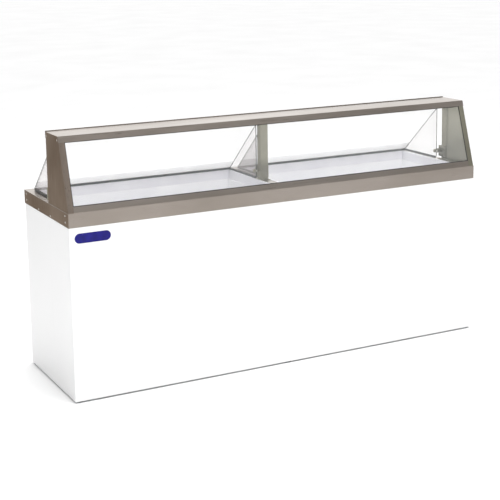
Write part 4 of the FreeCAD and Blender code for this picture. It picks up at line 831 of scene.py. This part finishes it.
def blade_points(form, base, centre, depth, offset):
    """One side of a fan blade as rows of corners: swept back, twisted and hollowed."""
    inner, outer = HUB_RADIUS * 0.92, BLADE_REACH
    lowest, highest = 0.4 * MM, depth - 0.2 * MM
    grid = []
    for row in range(BLADE_ROWS + 1):
        share = row / BLADE_ROWS
        radius = inner + (outer - inner) * share
        half_chord = HALF_CHORD + CHORD_SWELL * math.sin(share * SWELL_TURN)
        pitch = ROOT_PITCH + (TIP_PITCH - ROOT_PITCH) * share
        line = []
        for column in range(BLADE_COLUMNS + 1):
            across = -1 + 2 * column / BLADE_COLUMNS
            chord = half_chord * across
            camber = (1 - across * across) * BLADE_CAMBER
            lift = depth / 2 + chord * math.sin(pitch) * 0.5 + camber + offset
            turn = base + (chord * math.cos(pitch) + BLADE_SWEEP * share) / radius
            line.append(form.verts.new((
                centre.x + radius * math.cos(turn),
                centre.y + min(max(lift, lowest), highest),
                centre.z + radius * math.sin(turn))))
        grid.append(line)
    return grid


def build_fan():
    """Five blades swept and pitched round a hub."""
    low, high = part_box("fan_blade")
    shaft_low, shaft_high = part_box("fan_shaft")
    centre = Vector((
        (shaft_low[0] + shaft_high[0]) / 2, low[1], (shaft_low[2] + shaft_high[2]) / 2))
    depth = high[1] - low[1]
    hub = [(0, HUB_RADIUS * 0.9), (1 * MM, HUB_RADIUS), (depth - 2 * MM, HUB_RADIUS),
           (depth, HUB_RADIUS * 0.8)]
    form = bmesh.new()
    lathe(form, hub, centre, (0, 1, 0), 40)
    rim = [(row, 0) for row in range(BLADE_ROWS + 1)]
    rim += [(BLADE_ROWS, column) for column in range(1, BLADE_COLUMNS + 1)]
    rim += [(row, BLADE_COLUMNS) for row in range(BLADE_ROWS - 1, -1, -1)]
    rim += [(0, column) for column in range(BLADE_COLUMNS - 1, 0, -1)]
    for blade in range(BLADES):
        base = 2 * math.pi * blade / BLADES
        under, over = (
            blade_points(form, base, centre, depth, offset) for offset in (0.0, BLADE_SHEET))
        for row in range(BLADE_ROWS):
            for column in range(BLADE_COLUMNS):
                quad = [(row, column), (row + 1, column), (row + 1, column + 1), (row, column + 1)]
                form.faces.new([under[r][c] for r, c in quad])
                form.faces.new([over[r][c] for r, c in reversed(quad)])
        for (r, c), (next_r, next_c) in zip(rim, rim[1:] + rim[:1]):
            form.faces.new((under[r][c], over[r][c], over[next_r][next_c], under[next_r][next_c]))
    bmesh.ops.recalc_face_normals(form, faces=form.faces)
    smooth(piece("fan_wheel", form, "fan_blade", "aluminium"))


def build_louvres():
    """The grille plate again, with a slat leaning in behind every slot."""
    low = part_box("rear_grille")[0]
    margin, length, gap = 26 * MM, 150 * MM, 20 * MM
    columns, rows, pitch, slot = 2, 11, 22 * MM, 8 * MM
    behind, above = 3.5 * MM, 1.5 * MM
    points = []
    for column in range(columns):
        for row in range(rows):
            x = low[0] + margin + column * (length + gap) + length / 2
            points.append((x, low[1] - behind, low[2] + margin + row * pitch + slot + above))
    sizes = {"Length": length, "Width": 11 * MM, "Sheet": 1 * MM, "Lean": math.radians(35)}
    slats = grown("grille_slats", louvre_tree(), point_mesh("grille_points", points), sizes)
    form = merged("rear_grille")
    form.from_mesh(slats)
    bpy.data.meshes.remove(slats)
    piece("rear_grille_louvred", form, "rear_grille", "enamel")


def build_dial():
    """Thermostat knob: a ribbed skirt, a finger bar and a pointer line."""
    low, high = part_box("thermostat_knob")
    radius = (high[0] - low[0]) / 2
    x, z = (low[0] + high[0]) / 2, (low[2] + high[2]) / 2
    back = high[1] - 14.5 * MM
    skirt = [(0, radius * 0.97), (1 * MM, radius), (7 * MM, radius * 0.97),
             (11 * MM, radius * 0.9), (12 * MM, radius * 0.8)]
    form = bmesh.new()
    lathe(form, skirt, (x, back, z), (0, 1, 0), 120, 0.5 * MM, 30)
    lathe(form, [(low[1] - back, 3 * MM), (0, 3 * MM)], (x, back, z), (0, 1, 0), 24)
    block(form, (x, high[1] - 1.6 * MM, z), (5 * MM, 3.2 * MM, radius * 1.7))
    line = block(form, (x, high[1] - 0.15 * MM, z + radius * 0.5),
                 (1.2 * MM, 0.3 * MM, radius * 0.6))
    bmesh.ops.recalc_face_normals(form, faces=form.faces)
    marked = set(line)
    for face in form.faces:
        face.material_index = 1 if marked.issuperset(face.verts) else 0
    dial = piece("thermostat_dial", form, "thermostat_knob", "black_plastic", "grip")
    smooth(bevel(dial, 0.15))


def serpentine(low, high, y, rows, bend):
    """The middle of a tube that runs to and fro in rows, with half-round bends of that radius."""
    points = []
    pitch = 2 * bend
    start = (low.z + high.z - pitch * (rows - 1)) / 2
    for row in range(rows):
        ends = (low.x, high.x) if row % 2 == 0 else (high.x, low.x)
        z = start + row * pitch
        points += [(x, y, z) for x in ends]
        if row < rows - 1:
            sign = 1 if ends[1] > ends[0] else -1
            for step in range(1, 8):
                angle = math.pi * step / 8
                out, up = bend * math.sin(angle), bend * (1 - math.cos(angle))
                points.append((ends[1] + sign * out, y, z + up))
    return points


def add_tube(form, points, radius):
    """Sweeps a round tube along the points into the form."""
    curve = bpy.data.curves.new("tube", "CURVE")
    curve.dimensions = "3D"
    curve.bevel_depth = radius
    curve.bevel_resolution = 3
    curve.use_fill_caps = True
    spline = curve.splines.new("POLY")
    spline.points.add(len(points) - 1)
    for knot, point in zip(spline.points, points):
        knot.co = (*point, 1.0)
    seed = bpy.data.objects.new("tube", curve)
    bpy.context.scene.collection.objects.link(seed)
    evaluated = seed.evaluated_get(bpy.context.evaluated_depsgraph_get())
    mesh = bpy.data.meshes.new_from_object(evaluated)
    form.from_mesh(mesh)
    bpy.data.objects.remove(seed)
    bpy.data.meshes.remove(mesh)


def build_condenser():
    """Rippled fins between two end plates on two tubes that run to and fro."""
    low, high = (Vector(corner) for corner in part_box("condenser"))
    middle, size = (low + high) / 2, high - low
    radius, bend, rows = 4 * MM, 12 * MM, 9
    pitch, inset, fin_sheet, plate_sheet = 4 * MM, 2 * MM, 0.4 * MM, 1.2 * MM
    edge = Vector((bend + radius + 1 * MM, 0, 0))
    inner_low, inner_high = low + edge, high - edge
    count = int((inner_high.x - inner_low.x) / pitch)
    points = [(inner_low.x + (step + 0.5) * pitch, middle.y, middle.z) for step in range(count)]
    sizes = {"Deep": size.y - inset, "Tall": size.z - inset, "Sheet": fin_sheet}
    fins = grown("condenser_fins", fin_tree(), point_mesh("fin_points", points), sizes)
    adopt("condenser_fins", fins, "condenser", "aluminium")
    form = bmesh.new()
    for share in (0.25, 0.75):
        y = low.y + share * size.y
        add_tube(form, serpentine(inner_low, inner_high, y, rows, bend), radius)
    tubes = len(form.faces)
    for x in (inner_low.x, inner_high.x):
        block(form, (x, middle.y, middle.z), (plate_sheet, size.y, size.z))
    for index, face in enumerate(form.faces):
        face.material_index = 0 if index < tubes else 1
    bmesh.ops.recalc_face_normals(form, faces=form.faces)
    smooth(piece("condenser_tubes", form, "condenser", "copper", "zinc_sheet"))


build_screws()
build_condenser()
build_knobs()
build_glides()
build_clear()
build_softened()
build_compressor()
build_fan()
build_louvres()
build_dial()


# ---------------------------------------------------------------- studio

def build_floor():
    """A round floor, wide enough that its rim is never near."""
    form = bmesh.new()
    bmesh.ops.create_circle(form, cap_ends=True, segments=96, radius=90)
    mesh = bpy.data.meshes.new("floor")
    form.to_mesh(mesh)
    form.free()
    floor = bpy.data.objects.new("floor", mesh)
    mesh.materials.append(FINISHES["floor"])
    bpy.context.scene.collection.objects.link(floor)


def soft_light(name, place, target, size, power):
    """A square softbox that points from its place to its target."""
    data = bpy.data.lights.new(name, "AREA")
    data.shape = "SQUARE"
    data.size = size
    data.energy = power
    light = bpy.data.objects.new(name, data)
    light.location = place
    light.rotation_mode = "QUATERNION"
    light.rotation_quaternion = (Vector(target) - Vector(place)).to_track_quat("-Z", "Y")
    bpy.context.scene.collection.objects.link(light)


def build_lights():
    """Surroundings that dim towards the front, the left and the ground, and three softboxes."""
    world = bpy.data.worlds.new("studio")
    world.use_nodes = True
    tree = world.node_tree
    tree.nodes.clear()
    coords = add(tree, "ShaderNodeTexCoord").outputs["Generated"]
    apart = add(tree, "ShaderNodeSeparateXYZ", links={"Vector": coords})
    level = None
    for axis, start, stop, dim, bright in (
        ("Z", 0.3, 0.9, 1.1, 1.35), ("Y", -0.8, 0.9, 0.45, 1.55), ("X", -0.9, 0.1, 0.4, 1.0),
    ):
        ramp = add(tree, "ShaderNodeMapRange", {
            "From Min": start, "From Max": stop, "To Min": dim, "To Max": bright,
        }, {"Value": apart.outputs[axis]}).outputs[0]
        if level is None:
            level = ramp
        else:
            product = add(tree, "ShaderNodeMath", {"operation": "MULTIPLY"}, {0: level, 1: ramp})
            level = product.outputs[0]
    back = add(tree, "ShaderNodeBackground", {"Color": linear("ffffff")}, {"Strength": level})
    add(tree, "ShaderNodeOutputWorld", links={"Surface": back.outputs[0]})
    bpy.context.scene.world = world
    soft_light("key", (1.2, -3.6, 5.2), (0.1, 0, 0.4), 2.0, 50)
    soft_light("overhead", (0, -0.8, 4.4), (0, 0, 0.8), 3.0, 150)
    soft_light("fill", (-2.2, -5.8, 2.4), (0.2, 0, 0.8), 2.0, 80)


def build_camera():
    """A long lens from the front left, a little above the hood."""
    data = bpy.data.cameras.new("camera")
    data.sensor_width = 36
    data.lens = 88.33
    data.shift_y = -0.2
    camera = bpy.data.objects.new("camera", data)
    camera.location = (-2.8395, -5.396, 2.0715)
    camera.rotation_euler = [math.radians(angle) for angle in (80.25, 0.8, -27.57)]
    bpy.context.scene.collection.objects.link(camera)
    bpy.context.scene.camera = camera


build_floor()
build_lights()
build_camera()
bpy.context.scene.view_settings.view_transform = "Standard"
